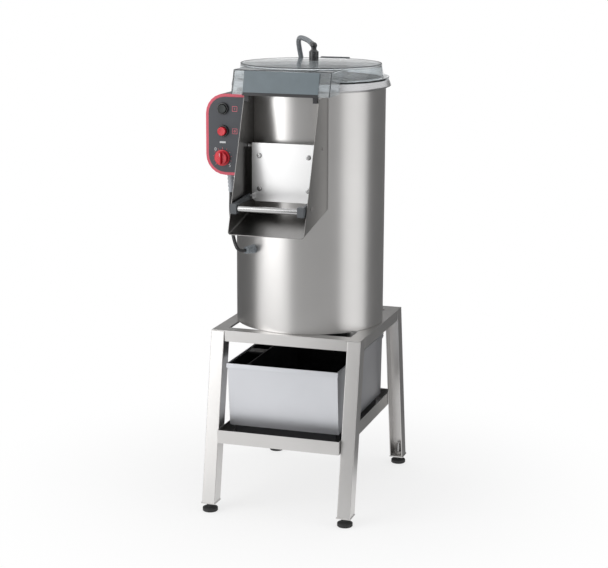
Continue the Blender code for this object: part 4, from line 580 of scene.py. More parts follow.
def plastic(name, base, roughness, scale=FINE_SKIN, depth=0.00002, coat=0.0):
    """Moulded plastic with a fine skin and slightly uneven colour."""
    made, tree, shader = new_finish(name, base, roughness, 0.0)
    skin = grain(tree, EVEN, scale)
    tint(tree, shader, grain(tree, EVEN, BLOTCH_SCALE), base, PLASTIC_TINT)
    uneven = vary(tree, skin, roughness - PLASTIC_SPREAD, roughness + PLASTIC_SPREAD)
    tree.links.new(uneven, shader.inputs["Roughness"])
    bump(tree, shader, skin, depth)
    shader.inputs["Coat Weight"].default_value = coat
    return made


def gritty(name, base):
    """Coarse abrasive grains."""
    made, tree, shader = new_finish(name, base, 0.9, 0.0)
    grains = shader_node(tree, "ShaderNodeTexVoronoi", Scale=GRIT_SCALE)
    place = tree.nodes.new("ShaderNodeTexCoord")
    tree.links.new(place.outputs["Object"], grains.inputs["Vector"])
    tint(tree, shader, grains.outputs["Distance"], base, GRIT_TINT)
    bump(tree, shader, grains.outputs["Distance"], GRIT_DEPTH)
    return made


def see_through(name, base):
    """Clear plastic, a little cloudy, with faint flow marks and hazy scuffs."""
    made, tree, shader = new_finish(name, base, 0.03, 0.0)
    shader.inputs["IOR"].default_value = ACRYLIC_IOR
    shader.inputs["Transmission Weight"].default_value = CLEARNESS
    scuffs = grain(tree, EVEN, 60.0, 6.0)
    tree.links.new(vary(tree, scuffs, 0.015, 0.07), shader.inputs["Roughness"])
    bump(tree, shader, grain(tree, (1, 1, 0.3), 14.0), FLOW_DEPTH)
    return made


FINISHES = {}

# Brushed metals: material name, colour, roughness, stretch of the lines, their depth, spread of the gloss.
# What a row leaves out has the default of brushed() or plastic().
METALS = {
    "steel": ("satin_steel", "steel", 0.30, (6, 6, 900), 0.0000005),
    "leg": ("leg_steel", "steel", 0.34, (700, 700, 9), 0.000003, 0.05),
    "across": ("rail_steel", "steel", 0.33, (9, 500, 700), 0.000003, 0.05),
    "box": ("box_steel", "box", 0.40, (7, 500, 700)),
    "chute": ("chute_steel", "chute", 0.30, (500, 9, 9)),
    "bright": ("bright_steel", "bright", 0.16, (9, 9, 500), 0.000002),
    "bar": ("polished_bar", "bar", 0.12, (9, 500, 500), 0.000001),
    "rim": ("rim_steel", "rim", 0.27, (9, 9, 700), 0.000001),
    "door": ("door_steel", "door", 0.31, (9, 500, 500), 0.000002),
    "cast": ("cast_aluminium", "cast", 0.50, (260, 260, 260), 0.00006),
}
# Plastics: material name, colour, roughness, scale of the skin, its depth, weight of the clear coat
PLASTICS = {
    "black": ("black_plastic", "black", 0.42),
    "gloss": ("glossy_black_plastic", "black", 0.24, FINE_SKIN, 0.00001, 0.4),
    "rubber": ("black_rubber", "rubber", 0.72, 500.0, 0.00006),
    "dark": ("dark_grey_plastic", "dark", 0.46),
    "slate": ("slate_plastic", "slate", 0.40),
    "face": ("control_face", "face", 0.48, FINE_SKIN, 0.00001),
    "pale": ("gland_plastic", "pale", 0.42),
    "grey": ("light_grey_plastic", "grey", 0.42),
    "print": ("pale_print", "pale_print", 0.5),
    "red": ("red_plastic", "red", 0.30, FINE_SKIN, 0.00001),
    "border": ("border_red", "border", 0.38, FINE_SKIN, 0.00001),
    "start": ("start_cap", "start", 0.45, FINE_SKIN, 0.00001),
    "marks": ("printed_marks", "marks", 0.45),
    # Painted shade for the dark look of the clear lid's edges.
    "bead": ("smoked_plastic", "bead", 0.30, FINE_SKIN, 0.00001),
    "motor": ("motor_paint", "motor", 0.42, 300.0, 0.00005),
    "hose": ("hose", "hose", 0.42),
}


def make_finishes():
    """All the surfaces of the machine, by name."""
    paint = colours()
    for make, table in ((brushed, METALS), (plastic, PLASTICS)):
        for key, (name, base, *values) in table.items():
            FINISHES[key] = make(name, getattr(paint, base), *values)
    FINISHES["clear"] = see_through("clear_plastic", paint.clear)
    FINISHES["grit"] = gritty("abrasive", paint.grit)


# Places that several pieces share


DRUM_LOW, DRUM_HIGH, DRUM_MIDDLE, DRUM_SIZE = extent("drum_shell")
AXIS = Vector((DRUM_MIDDLE.x, DRUM_MIDDLE.y, 0))
DRUM_RADIUS = DRUM_SIZE.x / 2
DRUM_BORE = reach("drum_shell", AXIS)


# Stand


def on_outer_face(node):
    """A test for the two long fold edges of a leg, on the face that looks away from the machine."""
    low, high, middle, size = extent(node)
    face = low.y if middle.y < AXIS.y else high.y

    def test(start, end):
        """A long edge whose lower end lies at the leg's outermost face."""
        bottom, top = sorted((start, end), key=lambda point: point.z)
        return top.z - bottom.z >= size.z / 2 and abs(bottom.y - face) < sizes().fold
    return test


def build_stand():
    """Legs with folded edges, frame, tray and runners, each rounded from its own node."""
    small = sizes()
    for node in nodes_named("leg_"):
        leg = round_edges(copied(node + "_sheet", node), on_outer_face(node), small.fold, 5)
        done(soften(leg, small.sheet_edge), "leg", node)
    dressed("stand_rails", "top_frame", "across", small.sheet_edge * 2)
    place = extent("tray")

    def upright(start, end):
        """The tray's four outer corners."""
        corner_x = min(abs(start.x - place.low.x), abs(start.x - place.high.x)) < MERGE
        corner_y = min(abs(start.y - place.low.y), abs(start.y - place.high.y)) < MERGE
        return corner_x and corner_y and abs(start.z - end.z) > place.size.z / 2

    tray = round_edges(copied("drip_tray", "tray"), upright, small.fold)
    done(soften(tray, small.sheet_edge), "across", "tray")
    # The runners' black frame also darkens the tray's inside between the box's foot and the tray's lip: this
    # is partly painted shade.
    dressed("tray_runners", "box_runners", "black", small.moulded_edge)


# Shares of a foot's height and radius, and of its pad's height
PAD_HEIGHT = 0.17
PAD_NECK = 0.44
STUD_RADIUS = 0.256
PAD_SHOULDER = 1.35
PAD_NECK_TOP = 1.85
THREAD_START = 2


def build_feet():
    """Rubber pads on threaded studs, which turn together."""
    small = sizes()
    for node in nodes_named("foot_"):
        low, high, middle, size = extent(node)
        radius = size.x / 2
        pad_top = size.z * PAD_HEIGHT
        neck = radius * PAD_NECK
        neck_top = low.z + pad_top * PAD_NECK_TOP
        stud = radius * STUD_RADIUS
        root = stud - small.thread_depth
        lip = small.moulded_edge * 1.5
        edge = arc(radius - lip, low.z + pad_top - lip, lip, 90, 0, 4)
        pad = lathe(node + "_pad", [
            (0, neck_top), (neck, neck_top), (neck + lip, low.z + pad_top * PAD_SHOULDER),
            (radius - lip, low.z + pad_top), *edge, (radius, low.z + lip), (radius - lip, low.z),
            (0, low.z)], middle, ROUND_STEPS)
        done(pad, "rubber", node)
        profile = [(0, high.z), (root, high.z)]
        height = high.z - small.thread_pitch
        while height > low.z + pad_top * THREAD_START:
            profile += [(stud, height + small.thread_pitch / 2), (root, height)]
            height -= small.thread_pitch
        profile += [(stud, neck_top), (0, neck_top)]
        added(lathe(node + "_stud", profile, middle, SMALL_STEPS), "bright", node)


# Filter box


# How far the two bands lie below the box's rim, in band heights
BAND_DROPS = (2, 6)


def band(name, node, height):
    """A raised band round a box's rim."""
    low, high = extent(node)[:2]
    small = sizes()
    proud = small.band_proud
    ring = block(
        name, (low.x - proud, low.y - proud, height), (high.x + proud, high.y + proud, height + small.band))
    ring = round_edges(
        ring, lambda start, end: abs(start.z - end.z) > small.band / 2, small.moulded_edge * 1.6, 3)
    inset = small.moulded_edge
    return cut(ring, block(
        "band_space", (low.x + inset, low.y + inset, height - FIT),
        (high.x - inset, high.y - inset, height + small.band + FIT)))


def build_filter_box():
    """The box with rounded corners and a banded rim, and the dark basket in it."""
    small = sizes()
    rim = extent("filter_box").high.z
    dressed("filter_box_sheet", "filter_box", "box", small.moulded_edge * 1.2, 3)
    for row, drop in enumerate(BAND_DROPS):
        ring = band(f"box_band_{row}", "filter_box", rim - small.band * drop)
        added(soften(ring, small.band_proud / 2), "box", "filter_box")
    dressed("filter_basket_tray", "filter_basket", "gloss", small.moulded_edge * 0.8)


# Drum


def neck_space(name):
    """The opening that the door's neck takes in a round wall."""
    low, high = extent("door_neck")[:2]
    return block(name, (low.x - FIT, low.y - FIT, low.z - FIT), (high.x + FIT, AXIS.y, high.z + FIT))


def build_rim():
    """The drum's rolled rim over its top edge."""
    edge = sizes().sheet_edge
    low, high = extent("top_rim")[:2]
    places = rings("top_rim")
    outer, bulge = max(places)
    inner = min(places)[0]
    shoulder = max(radius for radius, height in places if high.z - height < FIT)
    skirt = DRUM_RADIUS + FIT
    roll = (outer - shoulder) / 2
    top = arc(shoulder - roll / 2, high.z - roll / 2, roll / 2, 90, 20, 5)
    side = arc(outer - roll, bulge, roll, 20, -50, 8)
    rim = lathe("drum_rim", [
        (inner, high.z), *top, *side, (skirt + edge * 2, low.z + edge), (skirt + edge, low.z),
        (skirt, low.z + edge), (skirt, DRUM_HIGH.z + FIT), (inner, DRUM_HIGH.z + FIT)], AXIS)
    done(rim, "rim", "top_rim")


def build_drum():
    """The round shell and liner with the neck's opening, the rim, the seam, the base ring and the floor."""
    small = sizes()
    edge = small.sheet_edge
    shell = lathe("drum_body", chamfered_ring(DRUM_BORE, DRUM_RADIUS, DRUM_LOW.z, DRUM_HIGH.z, edge), AXIS)
    done(cut(shell, neck_space("shell_opening")), "steel", "drum_shell")
    low, high, _, size = extent("abrasive_liner")
    outer = size.x / 2
    inner = reach("abrasive_liner", AXIS)
    liner = lathe("chamber_liner", [(inner, high.z), (outer, high.z), (outer, low.z), (inner, low.z)], AXIS)
    done(cut(liner, neck_space("liner_opening")), "grit", "abrasive_liner")
    build_rim()
    seam_z = extent("lid_hinge_bracket").low.z - small.rim_edge
    seam_y = AXIS.y + DRUM_RADIUS - small.weld / 2
    seam = bar(
        "drum_seam", small.weld, (AXIS.x, seam_y, DRUM_LOW.z + edge), (AXIS.x, seam_y, seam_z), SMALL_STEPS)
    added(seam, "steel", "drum_shell")
    dressed("drum_base_ring", "base_ring", "steel", edge)
    dressed("chamber_floor_plate", "chamber_floor", "steel", edge)


# Turning plate and drive


MOTOR_FINS = 40
PLAIN_DRIVE_PARTS = [
    ("drive_shaft", "bright"), ("lower_bearing", "bright"), ("upper_bearing", "bright"),
    ("shaft_seal", "rubber"), ("bearing_housing", "cast"), ("driven_pulley", "cast"),
    ("motor_pulley", "cast"), ("drive_belt", "rubber"), ("motor_bracket", "steel"),
    ("drain_pipe", "steel"),
]


def build_motor():
    """The motor's can with its cooling fins."""
    fin = sizes().motor_fin
    low, high, middle, size = extent("motor_body")
    radius = size.x / 2
    root = radius - fin
    fins_top = high.z - size.z / 10
    fins_foot = low.z + size.z / 5
    body = lathe("motor_can", [
        (0, high.z), (radius, high.z), (radius, fins_top), (root, fins_top), (root, fins_foot),
        (radius, fins_foot), (radius, low.z + size.z / 12), (radius * 0.9, low.z), (0, low.z)],
        middle, LARGE_STEPS)
    blades = []
    for place in range(MOTOR_FINS):
        turn = 2 * pi * place / MOTOR_FINS
        blade = block(
            f"fin_{place}", (root - fin / 2, -fin / 4, fins_foot - FIT), (radius, fin / 4, fins_top + FIT))
        blade.matrix_world = Matrix.Translation((middle.x, middle.y, 0)) @ Matrix.Rotation(turn, 4, "Z")
        blades.append(settle(blade))
    done(together("motor_can", [body] + blades), "motor", "motor_body")


def build_drive():
    """The plate, shaft, bearings, pulleys, belt, finned motor, bracket and drain."""
    small = sizes()
    dressed("turning_plate", "abrasive_plate", "grit", small.moulded_edge)
    build_motor()
    for node, finish in PLAIN_DRIVE_PARTS:
        dressed(node + "_part", node, finish, small.sheet_edge)


# Chute and door


# A ripple's valley in bead radii, and its crest's place as a share of the ripple's length
WELD_VALLEY = 0.72
WELD_CREST_AT = 0.45


def weld_bead(name, place, low, high):
    """A rippled bead standing at a place, half sunk in the two sheets that it joins."""
    small = sizes()
    ripples = int((high - low) / small.weld_step)
    valley = small.weld * WELD_VALLEY
    profile = [(0, 0)]
    for ripple in range(ripples):
        foot = ripple * small.weld_step
        profile += [(valley, foot), (small.weld, foot + small.weld_step * WELD_CREST_AT)]
    profile += [(valley, ripples * small.weld_step), (0, ripples * small.weld_step)]
    return turned(name, profile, (place.x, place.y, low), (place.x, place.y, high), 12)


def build_chute():
    """The folded chute with its weld beads, and the neck behind the door."""
    small = sizes()
    low, high = extent("discharge_chute")[:2]
    dressed("chute_sheet", "discharge_chute", "chute", small.sheet_edge)
    dressed("neck_frame", "door_neck", "steel", small.sheet_edge)
    seated = [point.z for point in points_of("discharge_chute") if high.y - point.y < small.fold]
    for word, side in (("left", low.x), ("right", high.x)):
        depth = sqrt(DRUM_RADIUS ** 2 - (side - AXIS.x) ** 2)
        bead = weld_bead(
            f"chute_weld_{word}", Vector((side, AXIS.y - depth, 0)), min(seated) + small.fold,
            max(seated) - small.fold)
        added(bead, "steel", "discharge_chute")


def screw(name, place, way):
    """A domed screw head with a hexagon socket."""
    small = sizes()
    radius = small.screw_radius
    height = small.screw_height
    bend = height * 0.8
    dome = [(0, height)] + arc(radius - bend, height - bend, bend, 90, 0, 6) + [(radius, 0), (0, 0)]
    place = Vector(place)
    way = Vector(way)
    head = turned(name, dome, place, place + way, SMALL_STEPS)
    return cut(head, bar(
        name + "_socket", small.screw_socket, place + way * height * 0.35, place + way * height * 1.5, 6))


def rolled_sheet(name, radius, start, end):
    """A hinge knuckle from one point to another."""
    small = sizes()
    edge = small.sheet_edge
    long = (Vector(end) - Vector(start)).length
    bore = small.rod_radius + FIT
    return turned(name, [
        (bore, 0), (radius - edge, 0), (radius, edge), (radius, long - edge), (radius - edge, long),
        (bore, long)], start, end, SMALL_STEPS)


def door_side(word, side, edge, face, small):
    """A side's knuckle, ear and ear pin as parts of the plate, and its two screws."""
    low, high, middle, _ = extent("door_plate")
    rod = extent("door_hinge_rod").middle
    knuckle_start = edge - side * small.knuckle_inset
    knuckle_end = edge - side * (small.knuckle_inset + small.knuckle_length)
    knuckle = rolled_sheet(
        f"knuckle_{word}", high.y - rod.y, (knuckle_start, rod.y, rod.z), (knuckle_end, rod.y, rod.z))
    ear_z = middle.z + small.ear_drop
    ear_x = edge - side * small.ear_inset
    ear = block(
        f"ear_{word}", (ear_x, low.y, ear_z - small.ear_half),
        (edge - side * (small.ear_inset - small.ear_sheet), face, ear_z + small.ear_half))
    pin_y = low.y + small.ear_half
    pin = bar(
        f"ear_pin_{word}", small.rod_radius, (ear_x, pin_y, ear_z),
        (low.x if side < 0 else high.x, pin_y, ear_z), SMALL_STEPS)
    for row, height in (("low", low.z + small.screw_margin), ("high", high.z - small.screw_margin)):
        place = (edge - side * small.screw_inset, face + FIT / 2, height)
        added(screw(f"door_screw_{row}_{word}", place, (0, -1, 0)), "bar", "door_plate")
    return [knuckle, soften(ear, small.moulded_edge), pin]


def build_door():
    """The plate with its screws, knuckles and ears, and the seal behind it."""
    small = sizes()
    low, high, middle, _ = extent("door_plate")
    left, right = side_edges("door_plate", high.z)
    back = extent("door_seal").low.y - FIT
    face = back - small.plate_sheet

    def lower_corner(start, end):
        """The two lower corners of the plate."""
        return start.z < middle.z and end.z < middle.z and abs(start.y - end.y) > small.plate_sheet / 2

    plate = block("door_sheet", (left, face, low.z), (right, back, high.z))
    pieces = [soften(round_edges(plate, lower_corner, small.plate_corner, 10), small.sheet_edge)]
    pieces += door_side("left", -1, left, face, small)
    pieces += door_side("right", 1, right, face, small)
    done(together("door_plate_sheet", pieces), "door", "door_plate")
    dressed("door_seal_strip", "door_seal", "rubber", small.sheet_edge)
    build_hinge_rod()


# A nut's two radii in collar radii, and how far in the washer lies, in washer thicknesses
NUT_RADIUS = 0.86
NUT_TIP_RADIUS = 0.7
WASHER_PLACE = 2.6


def build_hinge_rod():
    """The rod that the door hangs on, with a washer and a nut at each end."""
    small = sizes()
    low, high, middle, size = extent("door_hinge_rod")
    collar = size.z / 2
    thick = small.rod_radius / 4
    ends = [(x, middle.y, middle.z) for x in (low.x, high.x)]
    parts = [bar("rod", small.rod_radius, *ends, SMALL_STEPS)]
    for word, tip, way in (("left", ends[0], 1), ("right", ends[1], -1)):
        inner = (tip[0] + way * thick * WASHER_PLACE, middle.y, middle.z)
        outer = (inner[0] - way * thick, middle.y, middle.z)
        parts.append(bar(f"washer_{word}", collar, inner, outer, SMALL_STEPS))
        parts.append(bar(f"nut_{word}", collar * NUT_RADIUS, outer, tip, 6, collar * NUT_TIP_RADIUS))
    done(together("hinge_rod", parts), "bright", "door_hinge_rod")


def build_handle():
    """The polished bar, the two arms and the plugs in their caps."""
    small = sizes()
    low, high, middle, size = extent("handle_bar")
    radius = size.z / 2
    lip = small.moulded_edge
    rod = turned("handle_tube", [
        (0, 0), (radius - lip, 0), (radius, lip), (radius, size.x - lip), (radius - lip, size.x),
        (0, size.x)], (low.x, middle.y, middle.z), (high.x, middle.y, middle.z))
    done(rod, "bar", "handle_bar")
    for word, side in (("left", -1), ("right", 1)):
        node = f"handle_arm_{word}"
        arm = extent(node)
        outside = arm.low.x if side < 0 else arm.high.x
        dressed(f"lever_arm_{word}", node, "dark", small.moulded_edge, 3)
        plug = turned(f"cap_plug_{word}", [
            (0, lip * 0.8), (radius - lip, lip * 0.8), (radius, lip * 0.3), (radius, -lip), (0, -lip)],
            (outside, middle.y, middle.z), (outside + side, middle.y, middle.z), LARGE_STEPS)
        added(plug, "dark", node)


# Lid


def lid_shape(wall):
    """Half of the dome's outline from its crown down to its side, a wall's thickness inside."""
    small = sizes()
    lid = extent("lid_shell")
    top = lid.high.z - small.lid_crown - wall
    side = lid.size.x / 2 - small.lid_inset - wall
    bend = small.lid_round
    crown = [(side - bend) * step / 6 for step in range(6)]
    line = [(radius, top + small.lid_crown * (1 - (radius / (side - bend)) ** 2)) for radius in crown]
    return line + arc(side - bend, top - bend, bend, 90, 4, 10)


# In drum radii in front of the drum's axis: the lid's points beyond the first are the hood's, and the
# second is where the hood's back lies
HOOD_START = 1.1
HOOD_REAR = 0.5


def hood_outline(wall, base):
    """Half the hood's width, and its leaning outline from the front's top round to the front's foot."""
    low = extent("lid_shell").low
    points = points_of("lid_shell")
    left = min(point.x for point in points if point.y < AXIS.y - DRUM_RADIUS * HOOD_START)
    front = [point for point in points if abs(point.x - left) < FIT]
    top = max(point.z for point in front)
    top_y = min(point.y for point in front if top - point.z < FIT)
    lean = (top_y - low.y) / (top - low.z)
    rear = AXIS.y - DRUM_RADIUS * HOOD_REAR + wall
    top -= wall
    front_y = [low.y + lean * (height - low.z) + wall for height in (top, base)]
    return AXIS.x - left - wall, [(front_y[0], top), (rear, top), (rear, base), (front_y[1], base)]


def hood(name, wall, base):
    """The hood's box, a wall's thickness inside."""
    half, outline = hood_outline(wall, base)
    return pressed(name, [(AXIS.x - half, y, z) for y, z in outline], (2 * half, 0, 0))


def build_hood_edge_shade(side_radius):
    """The dark glued seams along the hood's front and its two sides."""
    small = sizes()
    half, outline = hood_outline(small.seam / 3, extent("lid_shell").low.z + small.seam)
    top_front, foot_front = outline[0], outline[-1]
    top = top_front[1]
    meets = AXIS.y - sqrt(side_radius ** 2 - half ** 2)
    seams = []
    for word, x in (("left", AXIS.x - half), ("right", AXIS.x + half)):
        seams.append(tube(
            f"hood_seam_{word}", [(x, *foot_front), (x, *top_front), (x, meets, top)], small.seam))
    across = [(AXIS.x - half, *top_front), (AXIS.x + half, *top_front)]
    seams.append(tube("hood_seam_front", across, small.seam))
    added(together("hood_seams", seams), "bead", "lid_shell")


def build_lid_edge_shade(side, side_z):
    """The dark bead round the dome's rounded top edge."""
    small = sizes()
    out = small.lid_round + small.lid_bead * 0.2
    turn = radians(50)
    radius = side - small.lid_round + out * cos(turn)
    height = side_z + out * sin(turn)
    added(lathe("lid_bead", arc(radius, height, small.lid_bead, 0, 330, 11), AXIS), "bead", "lid_shell")


def build_lid():
    """The clear dome, flange and hood, the bead, the seams, the gasket, and the panel with its stops."""
    small = sizes()
    wall = small.lid_wall
    edge = small.sheet_edge
    low, high, _, size = extent("lid_shell")
    gasket = extent("lid_gasket")
    base = gasket.high.z + FIT
    flange = size.x / 2
    flange_top = base + small.lid_flange
    outside = lid_shape(0)
    inside = lid_shape(wall)
    top_side = outside[-1][0]
    foot = top_side + small.lid_taper
    shell = lathe("lid_dome", outside + [
        (foot, flange_top), (flange - edge, flange_top), (flange, flange_top - edge),
        (flange, base + edge), (flange - edge, base), (foot - wall, base)] + inside[::-1], AXIS)
    under = low.z - wall
    cut(shell, hood("hood_way", wall, under))
    front = hood("hood_walls", 0, low.z)
    cut(front, hood("hood_space", wall, under))
    seam = wall / 2
    cut(front, lathe("hood_seam", [
        (0, high.z + wall), (top_side - seam, high.z + wall), (top_side - seam, high.z - small.lid_round),
        (foot - seam, base - wall), (0, base - wall)], AXIS))
    rim_space = max(rings("top_rim"))[0] + small.rim_space
    cut(front, bar(
        "hood_rim_space", rim_space, (AXIS.x, AXIS.y, under), (AXIS.x, AXIS.y, base + FIT), DRUM_STEPS))
    done(soften(join(shell, front), edge * 1.6), "clear", "lid_shell")
    build_lid_edge_shade(top_side, outside[-1][1])
    build_hood_edge_shade(top_side)
    seal = lathe("lid_seal", chamfered_ring(
        reach("lid_gasket", AXIS), flange - small.gasket_inset, gasket.low.z, gasket.high.z, edge), AXIS)
    done(seal, "rubber", "lid_gasket")
    build_panel(low.z)


def build_panel(hood_base):
    """The slate panel on the hood's front with its two stops, and the dark fold along its foot."""
    small = sizes()
    low, high = extent("lid_front_panel")[:2]
    fold = hood_base + small.panel_shade_strip
    panel = copied("hood_panel", "lid_front_panel")
    foot = copied("hood_panel_foot", "lid_front_panel")
    wide = Vector((small.fold, small.fold, small.fold))
    cut(panel, block("below", low - wide, (high.x + wide.x, high.y + wide.y, fold)))
    cut(foot, block("above", (low.x - wide.x, low.y - wide.y, fold), high + wide))
    done(soften(panel, small.moulded_edge * 0.6), "slate", "lid_front_panel")
    # The foot is black as painted shade on the panel's fold.
    added(soften(foot, small.moulded_edge * 0.5), "black", "lid_front_panel")


def build_lid_hinge():
    """The leaf, the bracket and the pin behind the lid."""
    small = sizes()
    dressed("hinge_leaf", "lid_hinge_leaf", "dark", small.moulded_edge)
    dressed("hinge_bracket", "lid_hinge_bracket", "dark", small.moulded_edge)
    dressed("hinge_pin", "lid_hinge_pin", "bright", small.sheet_edge)


# Water feed


HOSE_POINTS = [
    (-0.034, 0.0800, 0.0885), (-0.0585, 0.1120, 0.0922), (-0.0775, 0.1430, 0.0900),
    (-0.0890, 0.1700, 0.0785), (-0.0925, 0.1880, 0.0600), (-0.0905, 0.1950, 0.0370),
    (-0.0860, 0.1960, 0.0070), (-0.083, 0.1960, -0.0230),
]
CABLE_POINTS = [
    (-0.155, -0.1700, -0.0585), (-0.1545, -0.1730, -0.0845), (-0.150, -0.1810, -0.1165),
    (-0.143, -0.1910, -0.1455), (-0.1335, -0.2010, -0.1685), (-0.1235, -0.2060, -0.1835),
]


ROUTE_STEPS = 6
TUBE_ANGLE = radians(60)


def smooth_route(points, steps):
    """Points on a smooth curve through a route."""
    places = [Vector(point) for point in points]
    places = [2 * places[0] - places[1]] + places + [2 * places[-1] - places[-2]]
    route = []
    for before, start, end, after in zip(places, places[1:], places[2:], places[3:]):
        for step in range(steps):
            t = step / steps
            route.append(0.5 * (
                2 * start + (end - before) * t
                + (2 * before - 5 * start + 4 * end - after) * t ** 2
                + (3 * start - before - 3 * end + after) * t ** 3))
    route.append(places[-2])
    return route


def tube(name, points, radius):
    """A round tube along points, as a closed mesh."""
    clear_selection()
    curve = bpy.data.curves.new(name, "CURVE")
    curve.dimensions = "3D"
    curve.bevel_depth = radius
    curve.bevel_resolution = 6
    curve.use_fill_caps = True
    spline = curve.splines.new("POLY")
    spline.points.add(len(points) - 1)
    for point, place in zip(spline.points, points):
        point.co = (*place, 1)
    thing = bpy.data.objects.new(name, curve)
    bpy.context.scene.collection.objects.link(thing)
    take(thing)
    bpy.ops.object.convert(target="MESH")
    with editing(bpy.context.object) as made:
        tidy_faces()
    return made


def build_elbow():
    """The black elbow on the lid: a body with a collar, a ball and a spout. Gives the ball and its way."""
    small = sizes()
    low = extent("water_elbow").low
    foot = [point for point in points_of("water_elbow") if point.z - low.z < FIT]
    centre = sum(foot, Vector()) / len(foot)
    radius = max(abs(point.x - centre.x) for point in foot)
    axis = Vector((round(centre.x, 5), round(centre.y, 5), 0))
    shoulder = low.z + small.elbow_body
    edge = small.moulded_edge
    ball = small.ball_radius
    ball_z = low.z + small.ball_rise
    neck = ball * 0.8
    groove = radius - edge * 0.6
    body = lathe("elbow_fitting", [
        (0, ball_z + ball), *arc(0, ball_z, ball, 84, -36, 14), (neck, shoulder + edge * 4),
        (neck + edge, shoulder + edge * 3), *arc(radius - edge * 2, shoulder - edge * 2, edge * 2, 90, 0, 5),
        (radius, low.z + edge * 6), (groove, low.z + edge * 5.4), (groove, low.z + edge * 4),
        (radius, low.z + edge * 3.4), (radius, low.z + edge * 0.4), (radius - edge * 0.4, low.z),
        (0, low.z)], axis, LARGE_STEPS)
    start = Vector((axis.x, axis.y, ball_z))
    way = (hose_places()[0] - start).normalized()
    spout = small.hose_radius + edge * 0.2
    collar = spout + edge * 0.7
    long = small.spout_length
    tip = turned("elbow_spout", [
        (0, 0), (spout, 0), (spout, long * 0.72), (collar, long * 0.78), (collar, long - edge),
        (spout, long), (0, long)], start, start + way, ROUND_STEPS)
    done(together("elbow_fitting", [body, tip]), "gloss", "water_elbow")
    return start, way


def hose_places():
    """The hose's route points in place."""
    top = extent("top_rim").high.z
    return [AXIS + Vector((x, y, top + rise)) for x, y, rise in HOSE_POINTS]


def build_water():
    """The elbow on the lid, the hose over the lid's edge and the inlet pipe at the back."""
    small = sizes()
    ball, way = build_elbow()
    dressed("inlet_pipe_run", "inlet_pipe", "steel", small.sheet_edge)
    start = ball + way * (small.spout_length + FIT)
    places = hose_places()
    end = Vector((places[-1].x, places[-1].y, extent("inlet_pipe").high.z + FIT))
    hose = tube("hose_run", smooth_route([start] + places + [end], ROUTE_STEPS), small.hose_radius)
    surfaced(hose, "hose", TUBE_ANGLE)
    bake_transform(hose)
    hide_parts("water_hose")


# Controls


# Half the knob's bar as a share of its disc, and where the pale line lies on that half
GRIP_SHARE = 0.90
LINE_SHARES = (0.35, 0.88)
PRINT_RELIEF = FIT * 0.4
# The scale round the knob, with its ticks in line widths and the turns of its numbers
TICKS = 11
SCALE_START = radians(-135)
SCALE_SPAN = radians(270)
LONG_TICK = 4.6
SHORT_TICK = 2.8
NUMBER_TURNS = (("0", radians(-42)), ("5", radians(134)))
# A gland's rib as shares of its radius and of its pitch, and the glands' radii in cable radii
RIB_SHAPE = ((1, 0.08), (1, 0.60), (0.92, 0.68), (0.84, 0.76), (0.84, 0.96))
CASING_GLAND_TIP = 1.38
DRUM_GLAND_SHARES = (2.5, 2.0)


def build_casing():
    """The casing with its red edge, the face plate, and what is behind it."""
    small = sizes()
    for node, finish in (
            ("control_box", "dark"), ("control_fascia", "border"), ("control_face", "face"),
            ("contact_block", "black"), ("timer_unit", "black")):
        width = small.sheet_edge if node == "control_face" else small.moulded_edge * 0.6
        dressed(node + "_shape", node, finish, width, 3)


def control_axis(node):
    """A button's or knob's axis: its rear end, its front end and its length."""
    low, high, middle, size = extent(node)
    return Vector((middle.x, high.y, middle.z)), Vector((middle.x, low.y, middle.z)), size.y


def build_buttons():
    """Two bezels with their caps, which go in by their travel."""
    small = sizes()
    edge = small.moulded_edge
    radius = small.cap_radius
    bore = radius + small.sheet_edge
    for word, finish in (("start", "start"), ("stop", "red")):
        rear, front, long = control_axis(f"{word}_bezel")
        outer = extent(f"{word}_bezel").size.x / 2
        bend = edge * 1.6
        bezel = turned(f"{word}_button_ring", [
            (bore, 0), (outer, 0), (outer, long * 0.35),
            *arc(outer - edge * 2.2, long - bend, bend, 40, 90, 5), (bore + edge * 1.4, long),
            (bore + edge * 0.4, long - edge * 0.8), (bore, long - bend)], rear, front, LARGE_STEPS)
        done(bezel, "gloss", f"{word}_bezel")
        cap_rear, cap_front, cap_long = control_axis(f"{word}_button")
        seat = abs(cap_rear.y - rear.y) + small.travel + FIT
        cap = turned(f"{word}_cap", [
            (0, 0), (small.stem, 0), (small.stem, seat), (radius, seat),
            *arc(radius - edge, cap_long - edge, edge, 0, 90, 5),
            (radius * 0.45, cap_long - edge * 0.35), (0, cap_long - edge * 0.45)],
            cap_rear, cap_front, LARGE_STEPS)
        done(cap, finish, f"{word}_button")


def build_knob():
    """The red timer knob: a skirt, a ribbed disc and the bar across it with its pale line."""
    small = sizes()
    edge = small.moulded_edge
    rear, front, _ = control_axis("timer_knob")
    low, _, middle, size = extent("timer_knob")
    seat = rear.y - extent("start_bezel").high.y
    skirt = size.x / 2
    step = seat + small.knob_skirt
    top = seat + small.knob_height
    radius = small.knob_radius
    bend = edge * 1.5
    disc = turned("knob_disc", [
        (0, 0), (small.stem, 0), (small.stem, seat), (skirt - edge * 0.4, seat), (skirt, seat + edge * 0.4),
        (skirt, step - edge * 1.4), (skirt - edge, step - edge * 0.4), (radius + edge, step),
        (radius, step + edge * 0.6), *arc(radius * 0.955 - bend, top - bend, bend, 10, 90, 5), (0, top)],
        rear, front, LARGE_STEPS)
    half = radius * GRIP_SHARE
    grip = block(
        "knob_bar", (middle.x - small.grip_width / 2, low.y, middle.z - half),
        (middle.x + small.grip_width / 2, rear.y - top + edge, middle.z + half))
    done(join(disc, soften(grip, edge * 1.2, 4)), "red", "timer_knob")
    line = block(
        "knob_line", (middle.x - small.mark / 2, low.y - FIT / 3, middle.z + half * LINE_SHARES[0]),
        (middle.x + small.mark / 2, low.y + FIT, middle.z + half * LINE_SHARES[1]))
    added(line, "print", "timer_knob")


